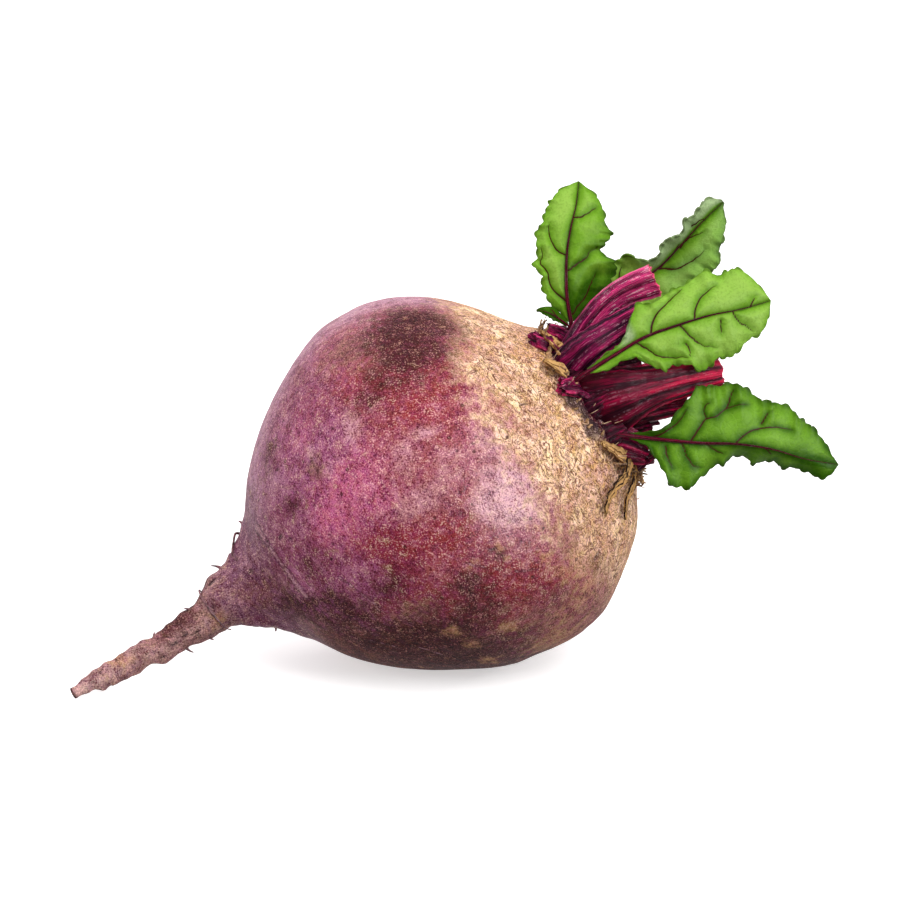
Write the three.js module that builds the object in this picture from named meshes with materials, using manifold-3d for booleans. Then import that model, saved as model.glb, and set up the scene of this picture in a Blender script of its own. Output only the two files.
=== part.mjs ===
// A beetroot lying on its side: one grown root with its tail, the leaf stalks cut short above
// the crown, a few young leaves, and dry skin and old stalks around the crown.
// Millimetres, +Z up. The origin is on the small flat spot that the root rests on, under the
// middle of the bulb. +X runs from the tail to the leaves, and -Y is the near side.
import * as THREE from "three";
import { mergeVertices } from "three/addons/utils/BufferGeometryUtils.js";
import Module from "manifold-3d";

const wasm = await Module();
wasm.setup();

// ---- driving dimensions -------------------------------------------------------------------

const BULB_RADIUS = 40; // widest, across the root's own axis
const BULB_HEIGHT = 35.6; // from the floor to the middle of the bulb
const AXIS_TILT = THREE.MathUtils.degToRad(30.3); // the crown end is raised by this
const TAIL_END = -85.4; // places along the axis count from the bulb's middle
const NECK = -36.4; // where the bulb has run out into the tail
const TAIL_INTO_BULB = [NECK - 14, NECK - 2]; // the tail's swells give way to the bulb's lobes
const CROWN_TOP = 42.9;
const TAIL_BEND = [2.5, -27.6, 8.7]; // how far the tail's tip has grown off the straight axis
const TAIL_BEND_POWER = [1.3, 1.3, 1.5]; // how late along the tail each part of that comes in
const TAIL_SWELL = 0.07; // the tail swells and thins by this share of its radius,
const TAIL_SWELL_TURN = 0.62; // turning on by this many radians a millimetre
const SHOULDER_SAG = 2.1; // the shoulder sits this much below the axis,
const SHOULDER_LIFT = 1; // and the crown rises again by this
const NECK_RISE = 1.5; // the neck sits this much above the axis,
const NECK_RISE_AT = -49; // most of all here,
const NECK_RISE_REACH = 7; // and over about this length
const RIM_SLANT = [0.09, 0.08]; // the rim leans back on its upper side and on its near side
const UNDERSIDE_SHAVE = 0.053; // the belly is flatter below, by this share of its radius,
const SHAVE_MIDDLE = -15; // most of all here,
const SHAVE_REACH = 20; // and over about this length
const LOW_RIM_SHAVE = 0.09; // the rim's low edge is drawn in by this share of its radius
const LOW_RIM_BACK = 1.3; // and back along the axis by this
const SETTLE_FROM = 4; // below this height the skin flattens towards the floor
const SETTLE_FLAT = -0.15; // skin that would hang lower than this is the flat spot
const ROOT_SIDES = 36;
const STALK_SIDES = 12;
const NEARBY = 0.01; // share of a line's length that its direction is taken over
const GAP = 0.3; // between pieces that touch
const BLADE = 0.6; // leaf thickness
const LEAF_LEAN = THREE.MathUtils.degToRad(13); // the leaves' plane leans back by this
const RIB_RADIUS = [1.5, 0.45]; // of a leaf's stalk at its foot, and of its midrib near the tip
const RIB_FOOT = 0.3; // the leaf's stalk is this long below the blade, to the blade's length
const STALK_CURL = 0.12; // how far a stalk's edges curl over, to its width
const STALK_DENT = 0.3; // how deep its groove is, to its thickness,
const DENT_REACH = 0.5; // and how many radians round it the groove runs
const STRIP_THICKNESS = 0.7;
const STRIP_ARCH = 0.4; // how far a strip's edges drop to the skin, to its width

const FINISHES = {
  root: { color: 0x8c3f5c, roughness: 0.5 },
  stalk: { color: 0x7d1340, roughness: 0.4 },
  dark_stalk: { color: 0x4a1030, roughness: 0.45 },
  leaf: { color: 0x5f9a2e, roughness: 0.45 },
  dry: { color: 0xb98a52, roughness: 0.8 },
};

// Radius along the root's own axis, from the cut tail to the top of the crown.
const ROOT_PROFILE = [
  [-85.4, 1.15],
  [-81, 1.75],
  [-76.5, 2.3],
  [-70, 2.5],
  [-64.5, 2.95],
  [-59, 3.4],
  [-53, 4.5],
  [-48.5, 6.4],
  [-44.5, 8.3],
  [-40.5, 11.5],
  [-36.5, 15.7],
  [-32.5, 21.3],
  [-28.5, 25.6],
  [-24.4, 29.2],
  [-20.3, 32.2],
  [-16.2, 34.7],
  [-12, 36.9],
  [-8, 38.7],
  [-4, 39.8],
  [0, 40],
  [4, 40],
  [8, 39.5],
  [12, 38.4],
  [16.2, 36.6],
  [20.3, 33.7],
  [24.4, 30],
  [28.3, 26],
  [31.6, 22.4],
  [34.6, 19.2],
  [36.2, 17],
  [36.6, 15],
  [38, 13.6],
  [40, 11.2],
  [41.8, 7.5],
  [42.6, 3.6],
];

// Each young leaf: where its blade starts, its midrib as [across, up, out] from there, the blade's
// width on either side of the midrib, and how far each edge folds out of the leaf's plane. All of
// them are evenly spaced from the base to the tip.
const LEAVES = {
  leaf_upright: {
    base: [26.1, 0, 69.5],
    foot: [26, -0.6, 61.8],
    midrib: [[0, 0, 0], [-0.8, 4.7, 0.8], [-1, 9.4, 1.3], [-0.8, 14.2, 1.3],
      [0, 18.9, 0.7], [1.1, 23.5, -0.6], [1.7, 28.3, -2.6]],
    left: [
      0.6, 1.3, 2.3, 3.4, 4.4, 4.7, 4.9, 5.2, 6.7, 5.7, 6, 6.5, 6.4, 5.9, 5.6, 5.7, 5.3, 4.8, 4,
      1.9, 0,
    ],
    right: [
      0.8, 2.5, 4.5, 6.2, 7.4, 8.6, 9.4, 9.9, 10.2, 9.6, 7.6, 6.8, 7.3, 8.3, 8, 6.6, 5.9, 5.1,
      3.8, 1.5, 0,
    ],
    fold_left: [0, -1, -1.6, -1.8, -1.4, -0.8, 0],
    fold_right: [-2, -4.5, -5, -2.4, -1.2, -0.6, 0],
    ruffle: 0.6,
    waves: 6,
  },
  leaf_back: {
    base: [33.5, 10, 67],
    foot: [28, 5, 58.8],
    midrib: [[0, 0, 0], [3.7, 4.6, -0.8], [7.5, 8.9, -1.4], [12, 12.6, -1.2],
      [16, 16.9, -0.4], [20, 21.2, 0.2], [24.2, 25.2, -0.6]],
    left: [
      0.6, 2.5, 4.4, 6.3, 6.8, 7.1, 6.7, 5.9, 3.1, 1.8, 1.8, 2.6, 2.7, 1.6, 1.6, 2.7, 2, 2.3,
      2.7, 2, 0,
    ],
    right: [
      0.6, 2.4, 4, 5.3, 6.1, 6.7, 7.2, 7.5, 7.5, 7.4, 6.9, 6.8, 7.4, 8.1, 8.3, 6.8, 5.8, 5, 3.8,
      1.2, 0,
    ],
    fold_left: [0, 1, 3.5, 6, 5.5, 4, 0],
    fold_right: [0, 1, 1.6, 2, 2.2, 1.5, 0],
    ruffle: 0.9,
    waves: 8,
  },
  leaf_middle: {
    base: [28.9, -16, 62.6],
    foot: [24.5, -9, 56.3],
    midrib: [[0, 0, 0], [5.4, 3.4, 1], [10.9, 6.6, 1.6], [17, 8.8, 1.8],
      [23.1, 10.7, 1.2], [29.4, 12, 0], [35.5, 13.8, -2]],
    left: [
      0.5, 0.7, 1, 1.1, 1.3, 2.2, 4, 6.4, 5.7, 5.9, 6.6, 6.9, 7.1, 7.9, 8.7, 7.4, 7.8, 8, 7, 3.6,
      0,
    ],
    right: [
      0.5, 1.2, 1.7, 1.7, 2, 3, 6, 7.4, 7.1, 7.2, 8.2, 9.8, 9.5, 8.5, 8.4, 8.7, 7.2, 5.9, 5.4,
      2.9, 0,
    ],
    fold_left: [0, 0.6, 0, -1, -1.6, -1.2, 0],
    fold_right: [0, 0.6, 0, -1.2, -2, -1.4, 0],
    ruffle: 0.6,
    waves: 7,
  },
  leaf_low: {
    base: [36.9, -17, 50],
    foot: [30, -8, 47.8],
    midrib: [[0, 0, 0], [6.9, -0.8, 0.8], [13.8, -1.4, 1.2], [20.8, -1.6, 1],
      [27.7, -2.6, 0.2], [34.4, -4.5, -1.4], [41.2, -5.6, -3.4]],
    left: [
      0.6, 0.9, 1.2, 2, 5, 8, 10.8, 10.9, 11.1, 11.6, 11.4, 10, 8.9, 9.1, 8.7, 7.3, 6.9, 6, 4.2,
      1.6, 0,
    ],
    right: [
      0.6, 0.9, 1.7, 4.6, 8, 8.9, 8.7, 6.4, 4.5, 4, 2.5, 2.2, 3.4, 2.7, 2.1, 2.8, 2.2, 2.3, 3,
      2.6, 0,
    ],
    fold_left: [0, 1, 0.4, -0.6, -1, -0.6, 0],
    fold_right: [0, 0.5, -1.5, -5, -5.5, -3.5, 0],
    ruffle: 0.8,
    waves: 8,
  },
  leaf_bud: {
    base: [25.4, -1.2, 69],
    foot: [26.4, -1.6, 63.8],
    midrib: [[0, 0, 0], [-1.6, 1.2, 0.3], [-3.2, 2.2, 0.2], [-4.8, 2.8, -0.2], [-6.2, 3.2, -0.6]],
    left: [0.4, 0.6, 0.8, 0.8, 0.7, 0.4, 0],
    right: [0.4, 0.8, 1.1, 1.4, 1.2, 0.7, 0],
    fold_left: [0, 0, 0],
    fold_right: [-0.4, -0.8, 0],
    ruffle: 0.2,
    waves: 2,
  },
};

// Each cut stalk: the line through its middle, from inside the crown to its cut end, and its
// width and thickness along that line. It is hollowed and curls towards `groove`.
const STALKS = {
  stalk_long: {
    line: [[25, -2, 61.3], [29.6, -4, 70.6], [35, -5, 76], [42.2, -5.5, 79.2]],
    width: [7, 5.4, 6.2, 7.8],
    depth: [4.4, 4, 4, 4.6],
    groove: [0.2, -0.8, -0.5],
    finish: "stalk",
  },
  stalk_dark: {
    line: [[24, -7, 58.3], [28.7, -11.6, 65], [34.1, -11.6, 69], [40.2, -10.5, 72.7]],
    width: [11, 8.4, 7, 6],
    depth: [4.6, 4.2, 3.8, 3.4],
    groove: [0, 1, 0.2],
    finish: "dark_stalk",
  },
  stalk_middle: {
    line: [[27.5, -8, 55.8], [34.2, -11.5, 60.8], [39.5, -11, 62.6]],
    width: [9, 6.4, 5.2],
    depth: [4.4, 4, 3.4],
    groove: [0, 1, -0.2],
    finish: "stalk",
  },
  stalk_wide: {
    line: [
      [27, -10, 52.8], [33.5, -14.4, 56.2], [41.2, -14, 58.8], [48.4, -13, 60.4],
      [55.1, -12, 61.6],
    ],
    width: [18, 14, 8.6, 7, 5.4],
    depth: [5.6, 5, 4.6, 4.2, 3.6],
    groove: [0, 1, 0],
    finish: "stalk",
  },
  stalk_under: {
    line: [[31, -7, 49.8], [38.2, -10.5, 53], [43.5, -10.8, 54.2], [48.6, -10.4, 54.9]],
    width: [9, 6, 5, 4.4],
    depth: [4.4, 4.2, 4, 3.4],
    groove: [0, 1, 0.2],
    finish: "dark_stalk",
  },
  stalk_short: {
    line: [[31, -9, 46.3], [35.7, -13.4, 46.9], [40.4, -13.2, 45.4]],
    width: [12, 9, 5],
    depth: [4.6, 4.2, 3.4],
    groove: [-0.1, 1, 0.3],
    finish: "stalk",
  },
  stalk_far_upper: {
    line: [[27, 6, 56.8], [32.6, 10.8, 62.8], [38.4, 12.6, 65.8]],
    width: [10, 7, 5.4],
    depth: [4.4, 4, 3.4],
    groove: [0.2, -1, 0],
    finish: "dark_stalk",
  },
  stalk_far_lower: {
    line: [[29.5, 7, 49.8], [37, 12.4, 52.8], [45, 14, 56.2]],
    width: [13, 8.6, 6],
    depth: [4.8, 4.2, 3.6],
    groove: [0.2, -1, 0],
    finish: "stalk",
  },
  stalk_far_short: {
    line: [[32.5, 5, 45.3], [37.4, 9.2, 44.4], [41.4, 10, 43.6]],
    width: [10, 7.4, 5],
    depth: [4.2, 3.8, 3.2],
    groove: [0, -1, 0.3],
    finish: "dark_stalk",
  },
  old_stub_top: {
    line: [[28, 1, 62.3], [24.9, 0.4, 66.4], [21.2, 0.6, 68]],
    width: [7, 6, 4],
    depth: [4, 3.8, 3],
    groove: [1, 0, 0.6],
    finish: "dark_stalk",
  },
  old_stub_edge: {
    line: [[25.5, -5.4, 61.8], [21.4, -7, 65.8], [18.4, -7.6, 67.4]],
    width: [6, 5.2, 4],
    depth: [3.8, 3.4, 2.8],
    groove: [1, 0, 0.6],
    finish: "dark_stalk",
  },
  old_stub_side: {
    line: [[28, -12, 57.4], [25.2, -16.4, 59.4], [23.3, -18.4, 59.6]],
    width: [6, 4.8, 3.4],
    depth: [3.4, 3, 2.4],
    groove: [1, 0.4, 0.4],
    finish: "stalk",
  },
  old_stub_far: {
    line: [[26.5, 7, 58.8], [23.6, 12, 62.4], [21.4, 14.6, 63.8]],
    width: [7, 6, 4.4],
    depth: [3.6, 3.4, 2.8],
    groove: [1, -0.4, 0.4],
    finish: "dark_stalk",
  },
};

// Dry skin along the edge of the crown, and dry threads of old stalks that hang over the
// shoulder: [along the axis, angle round it in degrees, height over the skin]. Angle 0 is the
// upper side and 90 the near side.
const DRY_STRIPS = {
  dry_flap_top: { line: [[35, 10, 0.4], [35.4, 24, 0.8], [36.4, 36, 0.4]], width: [2, 4.4, 2.4] },
  dry_flap_near: { line: [[33.4, 39, 0.5], [34.4, 47, 0.9], [35.6, 54, 0.5]], width: [1.8, 3.6, 2] },
  dry_flap_low: { line: [[34.4, 97, 0.3], [35.4, 114, 0.8], [36.4, 136, 0.5]], width: [1.4, 3, 1.6] },
  dry_flap_under: { line: [[35, 176, 0.1], [34.4, 196, 0.6], [34.8, 218, 0.2]], width: [1.6, 3.8, 2] },
  dry_flap_far: { line: [[35.4, 262, 0.3], [35, 284, 0.9], [35.4, 306, 0.4]], width: [1.6, 4, 2] },
  old_stalk_near: {
    line: [[36, 121, 1], [34.4, 122, 1.3], [31.9, 117.5, 1], [29.6, 116, 0.7], [27.6, 119.5, 0.3]],
    width: [2.4, 2.2, 2, 1.5, 0.7],
  },
  old_stalk_low: {
    line: [[36.4, 137, 0.8], [34, 134, 1.2], [31.7, 130, 0.8], [29.6, 136, 0.3]],
    width: [2.2, 1.9, 1.4, 0.7],
  },
};

// ---- shaping ------------------------------------------------------------------------------

// A smooth run through evenly spaced values, numbers or lists of numbers, at u from 0 to 1.
function glide(values, u) {
  const place = THREE.MathUtils.clamp(u, 0, 1) * (values.length - 1);
  const i = Math.min(Math.floor(place), values.length - 2);
  const t = place - i;
  const at = (k) => values[THREE.MathUtils.clamp(k, 0, values.length - 1)];
  const mix = (a, b, c, d) => {
    const [start, end] = [(c - a) / 2, (d - b) / 2];
    const [cubic, square] = [2 * b - 2 * c + start + end, 3 * c - 3 * b - 2 * start - end];
    return cubic * t ** 3 + square * t ** 2 + start * t + b;
  };
  const [a, b, c, d] = [at(i - 1), at(i), at(i + 1), at(i + 2)];
  return Array.isArray(b) ? b.map((_, k) => mix(a[k], b[k], c[k], d[k])) : mix(a, b, c, d);
}

const step = THREE.MathUtils.smoothstep;
const vector = (xyz) => new THREE.Vector3(...xyz);

// Moves every vertex of a closed geometry to place(x, y, z) and returns it as a solid.
function solid(geometry, place) {
  geometry.deleteAttribute("normal");
  geometry.deleteAttribute("uv");
  const merged = mergeVertices(geometry, 1e-4);
  const position = merged.attributes.position;
  for (let i = 0; i < position.count; i++) {
    const p = place(position.getX(i), position.getY(i), position.getZ(i));
    position.setXYZ(i, p.x, p.y, p.z);
  }
  const triVerts = new Uint32Array(merged.index.array);
  const made = new wasm.Manifold(
    new wasm.Mesh({ numProp: 3, vertProperties: position.array, triVerts }),
  );
  if (made.volume() > 0) return made;
  triVerts.reverse();
  return new wasm.Manifold(
    new wasm.Mesh({ numProp: 3, vertProperties: position.array, triVerts }),
  );
}

// The largest piece of a solid that a cut may have left in several.
function largest(shape) {
  return shape.decompose().sort((a, b) => b.volume() - a.volume())[0];
}

// ---- the root -----------------------------------------------------------------------------

const AXIS = new THREE.Vector3(Math.cos(AXIS_TILT), 0, Math.sin(AXIS_TILT));
const UPPER = new THREE.Vector3(-Math.sin(AXIS_TILT), 0, Math.cos(AXIS_TILT));
const NEAR = new THREE.Vector3(0, -1, 0);

// The bulb's lobes: how many there are, their height to the radius, and where they start.
const BULB_LOBES = [[2, 0.006, 2.2], [3, 0.008, -1.1]];

// How much wider the root is at an angle round it than its profile says, to its radius.
function lobes(along, angle) {
  const heights = BULB_LOBES.map(([count, height, start]) => height * Math.cos(count * angle + start));
  const bulb = heights.reduce((sum, height) => sum + height);
  const tail = TAIL_SWELL * Math.sin(TAIL_SWELL_TURN * along + 2 * Math.cos(angle));
  return THREE.MathUtils.lerp(tail, bulb, step(along, ...TAIL_INTO_BULB));
}

// The point of the root at a place along its axis, an angle round it and a distance from it.
function rootPoint(along, angle, distance) {
  const lower = step(-Math.cos(angle), 0.2, 1);
  const belly = UNDERSIDE_SHAVE * Math.exp(-(((along - SHAVE_MIDDLE) / SHAVE_REACH) ** 2));
  const lowRim = lower * step(along, 28, 36);
  const radius = distance * (1 + lobes(along, angle) - lower * belly - LOW_RIM_SHAVE * lowRim);
  const shoulder = -SHOULDER_SAG * step(along, 0, 24) + SHOULDER_LIFT * step(along, 30, 38);
  const neck = NECK_RISE * Math.exp(-(((along - NECK_RISE_AT) / NECK_RISE_REACH) ** 2));
  const slant = RIM_SLANT[0] * Math.cos(angle) + RIM_SLANT[1] * Math.sin(angle);
  const skew = -radius * slant * step(along, 20, 36) - LOW_RIM_BACK * lowRim;
  const out = Math.max(0, (NECK - along) / (NECK - TAIL_END));
  const p = new THREE.Vector3(0, 0, BULB_HEIGHT)
    .addScaledVector(AXIS, along + skew)
    .addScaledVector(UPPER, radius * Math.cos(angle) + shoulder + neck)
    .addScaledVector(NEAR, radius * Math.sin(angle))
    .add(vector(TAIL_BEND.map((reach, k) => reach * out ** TAIL_BEND_POWER[k])));
  if (along > NECK) p.z = settle(p.z);
  return p;
}

// Heights near the floor, pressed towards it. What comes out below 0 is cut away flat.
function settle(z) {
  if (z > SETTLE_FROM) return z;
  if (z < SETTLE_FLAT) return z - SETTLE_FLAT;
  const span = SETTLE_FROM - SETTLE_FLAT;
  return SETTLE_FROM * ((z - SETTLE_FLAT) / span) ** (span / SETTLE_FROM);
}

function rootRadius(along) {
  const i = Math.max(1, ROOT_PROFILE.findIndex(([place]) => place >= along));
  const [[a, ra], [b, rb]] = [ROOT_PROFILE[i - 1], ROOT_PROFILE[i]];
  return THREE.MathUtils.mapLinear(along, a, b, ra, rb);
}

function rootSolid(grow) {
  const profile = [
    new THREE.Vector2(0, TAIL_END - grow),
    ...ROOT_PROFILE.map(([along, radius]) => new THREE.Vector2(radius + grow, along)),
    new THREE.Vector2(0, CROWN_TOP + grow),
  ];
  const lathe = new THREE.LatheGeometry(profile, ROOT_SIDES);
  const grown = solid(lathe, (x, y, z) => rootPoint(y, Math.atan2(z, x), Math.hypot(x, z)));
  const side = 4 * BULB_RADIUS;
  const floor = new THREE.BoxGeometry(side, side, side);
  return grown.subtract(solid(floor, (x, y, z) => new THREE.Vector3(x, y, z - side / 2)));
}

// ---- stalks and strips --------------------------------------------------------------------

// A tapered bar with a shallow groove along one side. It keeps the line's points as its middle.
function stalkSolid({ line, width, depth, groove }, grow) {
  const bar = new THREE.CylinderGeometry(1, 1, 1, STALK_SIDES, STALK_SIDES / 2, false);
  const facing = vector(groove);
  return solid(bar, (x, y, z) => {
    const u = y + 0.5;
    const middle = vector(glide(line, u));
    const last = vector(glide(line, u - NEARBY));
    const ahead = vector(glide(line, u + NEARBY)).sub(last).normalize();
    const side = ahead.clone().cross(facing).normalize();
    const front = side.clone().cross(ahead);
    const angle = Math.atan2(z, x);
    const dent = 1 - STALK_DENT * Math.exp(-(((angle - Math.PI / 2) / DENT_REACH) ** 2));
    const r = Math.hypot(x, z);
    return middle
      .addScaledVector(side, Math.cos(angle) * r * (glide(width, u) / 2 + grow))
      .addScaledVector(front, Math.sin(angle) * r * (glide(depth, u) / 2 + grow) * dent)
      .addScaledVector(front, STALK_CURL * glide(width, u) * (r * Math.cos(angle)) ** 2)
      .addScaledVector(ahead, 2 * grow * (u - 0.5));
  });
}

// A thin strip that follows the skin of the root.
function stripSolid({ line, width }, grow) {
  const sheet = new THREE.BoxGeometry(1, 1, 1, 2, 7, 1);
  return solid(sheet, (x, y, z) => {
    const u = y + 0.5;
    const [along, degrees, lift] = glide(line, u);
    const [nextAlong, nextDegrees] = glide(line, u + NEARBY);
    const [lastAlong, lastDegrees] = glide(line, u - NEARBY);
    const skin = (s, d) => rootPoint(s, THREE.MathUtils.degToRad(d), rootRadius(s));
    const here = skin(along, degrees);
    const ahead = skin(nextAlong, nextDegrees).sub(skin(lastAlong, lastDegrees)).normalize();
    const out = here.clone().sub(new THREE.Vector3(0, 0, BULB_HEIGHT)).normalize();
    const side = ahead.clone().cross(out).normalize();
    const middle = GAP + STRIP_THICKNESS / 2 + lift - Math.abs(x) * STRIP_ARCH;
    const height = middle + z * (STRIP_THICKNESS + 2 * grow);
    return here
      .addScaledVector(side, x * (glide(width, u) + 2 * grow))
      .addScaledVector(out, height)
      .addScaledVector(ahead, 2 * grow * (u - 0.5));
  });
}

// ---- leaves -------------------------------------------------------------------------------

const LEAF_UP = new THREE.Vector3(0, Math.sin(LEAF_LEAN), Math.cos(LEAF_LEAN));
const LEAF_OUT = new THREE.Vector3(0, -Math.cos(LEAF_LEAN), Math.sin(LEAF_LEAN));

// The point of a leaf at u along its midrib and v from -1, the right edge, to 1, the left edge,
// lifted off the blade's middle by `lift`.
function leafPoint(leaf, u, v, lift) {
  const [across, up, out] = glide(leaf.midrib, u);
  const [ax, ay] = glide(leaf.midrib, u + NEARBY);
  const [bx, by] = glide(leaf.midrib, u - NEARBY);
  const length = Math.hypot(ax - bx, ay - by);
  const [sideX, sideY] = [-(ay - by) / length, (ax - bx) / length];
  const [widths, folds] = v > 0 ? [leaf.left, leaf.fold_left] : [leaf.right, leaf.fold_right];
  const reach = v * glide(widths, u);
  const edge = Math.abs(v);
  const wave = leaf.ruffle * edge ** 2 * Math.sin(2 * Math.PI * leaf.waves * u + 2 * v);
  const height = out + glide(folds, u) * edge ** 1.5 + wave * Math.sin(Math.PI * u) + lift;
  return vector(leaf.base)
    .add(new THREE.Vector3(across + sideX * reach, 0, 0))
    .addScaledVector(LEAF_UP, up + sideY * reach)
    .addScaledVector(LEAF_OUT, height);
}

// The blade, joined to a midrib that runs on below it as the leaf's own stalk. Both stop a little
// short of the point, where the blade would have no width.
function leafSolid(leaf, grow) {
  const [bladeEnd, ribEnd] = [0.97, 0.9];
  const sheet = new THREE.BoxGeometry(2, 1, 1, 6, leaf.left.length - 3, 1);
  const blade = solid(sheet, (x, y, z) =>
    leafPoint(leaf, (y + 0.5) * bladeEnd, x, z * (BLADE + 2 * grow)),
  );
  const rib = new THREE.CylinderGeometry(1, 1, 1, 6, leaf.midrib.length + 1, false);
  const foot = vector(leaf.foot);
  const stalk = solid(rib, (x, y, z) => {
    const u = THREE.MathUtils.lerp(-RIB_FOOT, ribEnd, y + 0.5);
    const start = leafPoint(leaf, 0, 0, 0);
    const onBlade = leafPoint(leaf, Math.max(u, 0), 0, 0);
    const middle = u < 0 ? start.lerp(foot, -u / RIB_FOOT) : onBlade;
    const radius = THREE.MathUtils.mapLinear(u, -RIB_FOOT, ribEnd, ...RIB_RADIUS) + grow;
    middle.y -= z * radius;
    return middle.addScaledVector(crossways(leaf, u), x * radius);
  });
  return blade.add(stalk);
}

// Across the leaf's midrib, in the leaf's plane.
function crossways(leaf, u) {
  const from = u < 0 ? vector(leaf.foot) : leafPoint(leaf, Math.max(u - 2 * NEARBY, 0), 0, 0);
  const to = u < 0 ? vector(leaf.base) : leafPoint(leaf, Math.max(u, 0) + 2 * NEARBY, 0, 0);
  return to.sub(from).cross(LEAF_OUT).normalize();
}

// ---- the whole beetroot -------------------------------------------------------------------

const beetroot = new THREE.Group();
const kept = []; // the pieces made so far, each a little grown, for the next ones to stay clear of

function add(name, finish, make) {
  const shape = kept.reduce((rest, other) => rest.subtract(other), make(0));
  kept.push(make(GAP));
  const { numProp, numVert, vertProperties, triVerts } = largest(shape).getMesh();
  const xyz = new Float32Array(3 * numVert);
  for (let i = 0; i < numVert; i++) {
    xyz.set(vertProperties.subarray(i * numProp, i * numProp + 3), 3 * i);
  }
  const geometry = new THREE.BufferGeometry()
    .setAttribute("position", new THREE.BufferAttribute(xyz, 3))
    .setIndex(new THREE.BufferAttribute(triVerts, 1));
  geometry.computeVertexNormals();
  const material = new THREE.MeshStandardMaterial({ ...FINISHES[finish], metalness: 0 });
  const mesh = new THREE.Mesh(geometry, material);
  mesh.name = name;
  beetroot.add(mesh);
}

add("root", "root", rootSolid);
for (const [name, leaf] of Object.entries(LEAVES)) {
  add(name, "leaf", (grow) => leafSolid(leaf, grow));
}
for (const [name, stalk] of Object.entries(STALKS)) {
  add(name, stalk.finish, (grow) => stalkSolid(stalk, grow));
}
for (const [name, strip] of Object.entries(DRY_STRIPS)) {
  add(name, "dry", (grow) => stripSolid(strip, grow));
}

export default beetroot;
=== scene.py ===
"""A beetroot on a pale floor: its skin, tail, cut stalks, young leaves and dry bits, around the CAD."""

import math
from functools import partial

import bmesh
import bpy
import numpy as np
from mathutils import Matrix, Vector, noise


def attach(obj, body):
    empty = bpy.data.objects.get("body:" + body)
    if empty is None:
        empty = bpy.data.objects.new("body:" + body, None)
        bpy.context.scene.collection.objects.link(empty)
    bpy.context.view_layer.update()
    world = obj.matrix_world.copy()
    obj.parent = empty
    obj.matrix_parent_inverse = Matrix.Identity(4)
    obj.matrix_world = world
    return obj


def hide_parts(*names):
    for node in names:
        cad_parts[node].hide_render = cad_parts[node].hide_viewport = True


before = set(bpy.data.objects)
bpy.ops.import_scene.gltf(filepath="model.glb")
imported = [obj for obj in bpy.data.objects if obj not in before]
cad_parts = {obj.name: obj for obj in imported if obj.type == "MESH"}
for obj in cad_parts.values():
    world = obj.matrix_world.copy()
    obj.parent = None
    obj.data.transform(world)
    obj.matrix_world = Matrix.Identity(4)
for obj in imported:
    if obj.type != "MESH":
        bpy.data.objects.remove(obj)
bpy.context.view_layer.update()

MM = 0.001  # lengths are in millimetres up to the studio's; meshes and the studio are in metres
BODY = "root"


# ---- small tools --------------------------------------------------------------------------

def smooth(x, low, high):
    """0 below low, 1 above high, and an even S between them."""
    t = np.clip((np.asarray(x, float) - low) / (high - low), 0, 1)
    return t * t * (3 - 2 * t)


def mix(a, b, amount):
    return a + (b - a) * amount


def glide(values, t):
    """A smooth run through evenly spaced values, at t from 0 to 1."""
    values = np.asarray(values, float)
    spot = np.clip(np.asarray(t, float), 0, 1) * (len(values) - 1)
    i = np.minimum(spot.astype(int), len(values) - 2)
    f = spot - i
    if values.ndim > 1:
        f = f[..., None]
    a, b, c, d = (values[np.clip(i + k, 0, len(values) - 1)] for k in (-1, 0, 1, 2))
    start, end = (c - a) / 2, (d - b) / 2
    cube = 2 * b - 2 * c + start + end
    square = 3 * c - 3 * b - 2 * start - end
    return cube * f**3 + square * f**2 + start * f + b


def grain(points, size, seed=0.0, octaves=2):
    """Even noise from about -1 to 1 at each point, with lumps of about size millimetres."""
    shift = Vector((seed * 7.31, seed * -3.17, seed * 5.53))
    return np.array([noise.fractal(Vector(p) / size + shift, 1.0, 2.0, octaves) for p in points])


def unit(vectors):
    return vectors / np.maximum(np.linalg.norm(vectors, axis=-1, keepdims=True), 1e-9)


def sheet(bm, columns, rows, place):
    """A grid whose vertices move to place(u, v), which gives points and any marks for them."""
    uv = bm.loops.layers.uv.verify()
    before = len(bm.verts)
    bmesh.ops.create_grid(bm, x_segments=columns, y_segments=rows, size=0.5, calc_uvs=True)
    flat = np.array([v.co for v in list(bm.verts)[before:]])
    points, marks = place(flat[:, 0] + 0.5, flat[:, 1] + 0.5)
    pairs = marks.pop("uv", None)
    layers = [bm.verts.layers.float.get(name) or bm.verts.layers.float.new(name) for name in marks]
    verts = list(bm.verts)[before:]
    for vert, point in zip(verts, points):
        vert.co = point * MM
    for layer, values in zip(layers, marks.values()):
        for vert, value in zip(verts, values):
            vert[layer] = value
    if pairs is not None:
        for vert, pair in zip(verts, pairs):
            for loop in vert.link_loops:
                loop[uv].uv = pair


def piece(name, bm, materials, replaced=(), closed=True):
    """Makes bm an object that rides on the body, and that stands for the replaced CAD nodes."""
    bmesh.ops.remove_doubles(bm, verts=bm.verts, dist=0.002 * MM)
    if closed:
        bmesh.ops.recalc_face_normals(bm, faces=bm.faces)
    mesh = bpy.data.meshes.new(name)
    bm.to_mesh(mesh)
    bm.free()
    for material in materials:
        mesh.materials.append(material)
    mesh.polygons.foreach_set("use_smooth", [True] * len(mesh.polygons))
    made = bpy.data.objects.new(name, mesh)
    bpy.context.scene.collection.objects.link(made)
    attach(made, BODY)
    if replaced:
        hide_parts(*replaced)
    return made


def thicken(made, thickness, offset=0.0):
    """Gives a sheet its thickness in millimetres: offset -1 puts it all behind the sheet."""
    thick = made.modifiers.new("thickness", "SOLIDIFY")
    thick.thickness = thickness * MM
    thick.offset = offset
    return thick


def heading(line, t):
    """The way that a line runs at t."""
    return unit(glide(line, t + 0.01) - glide(line, t - 0.01))


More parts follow.
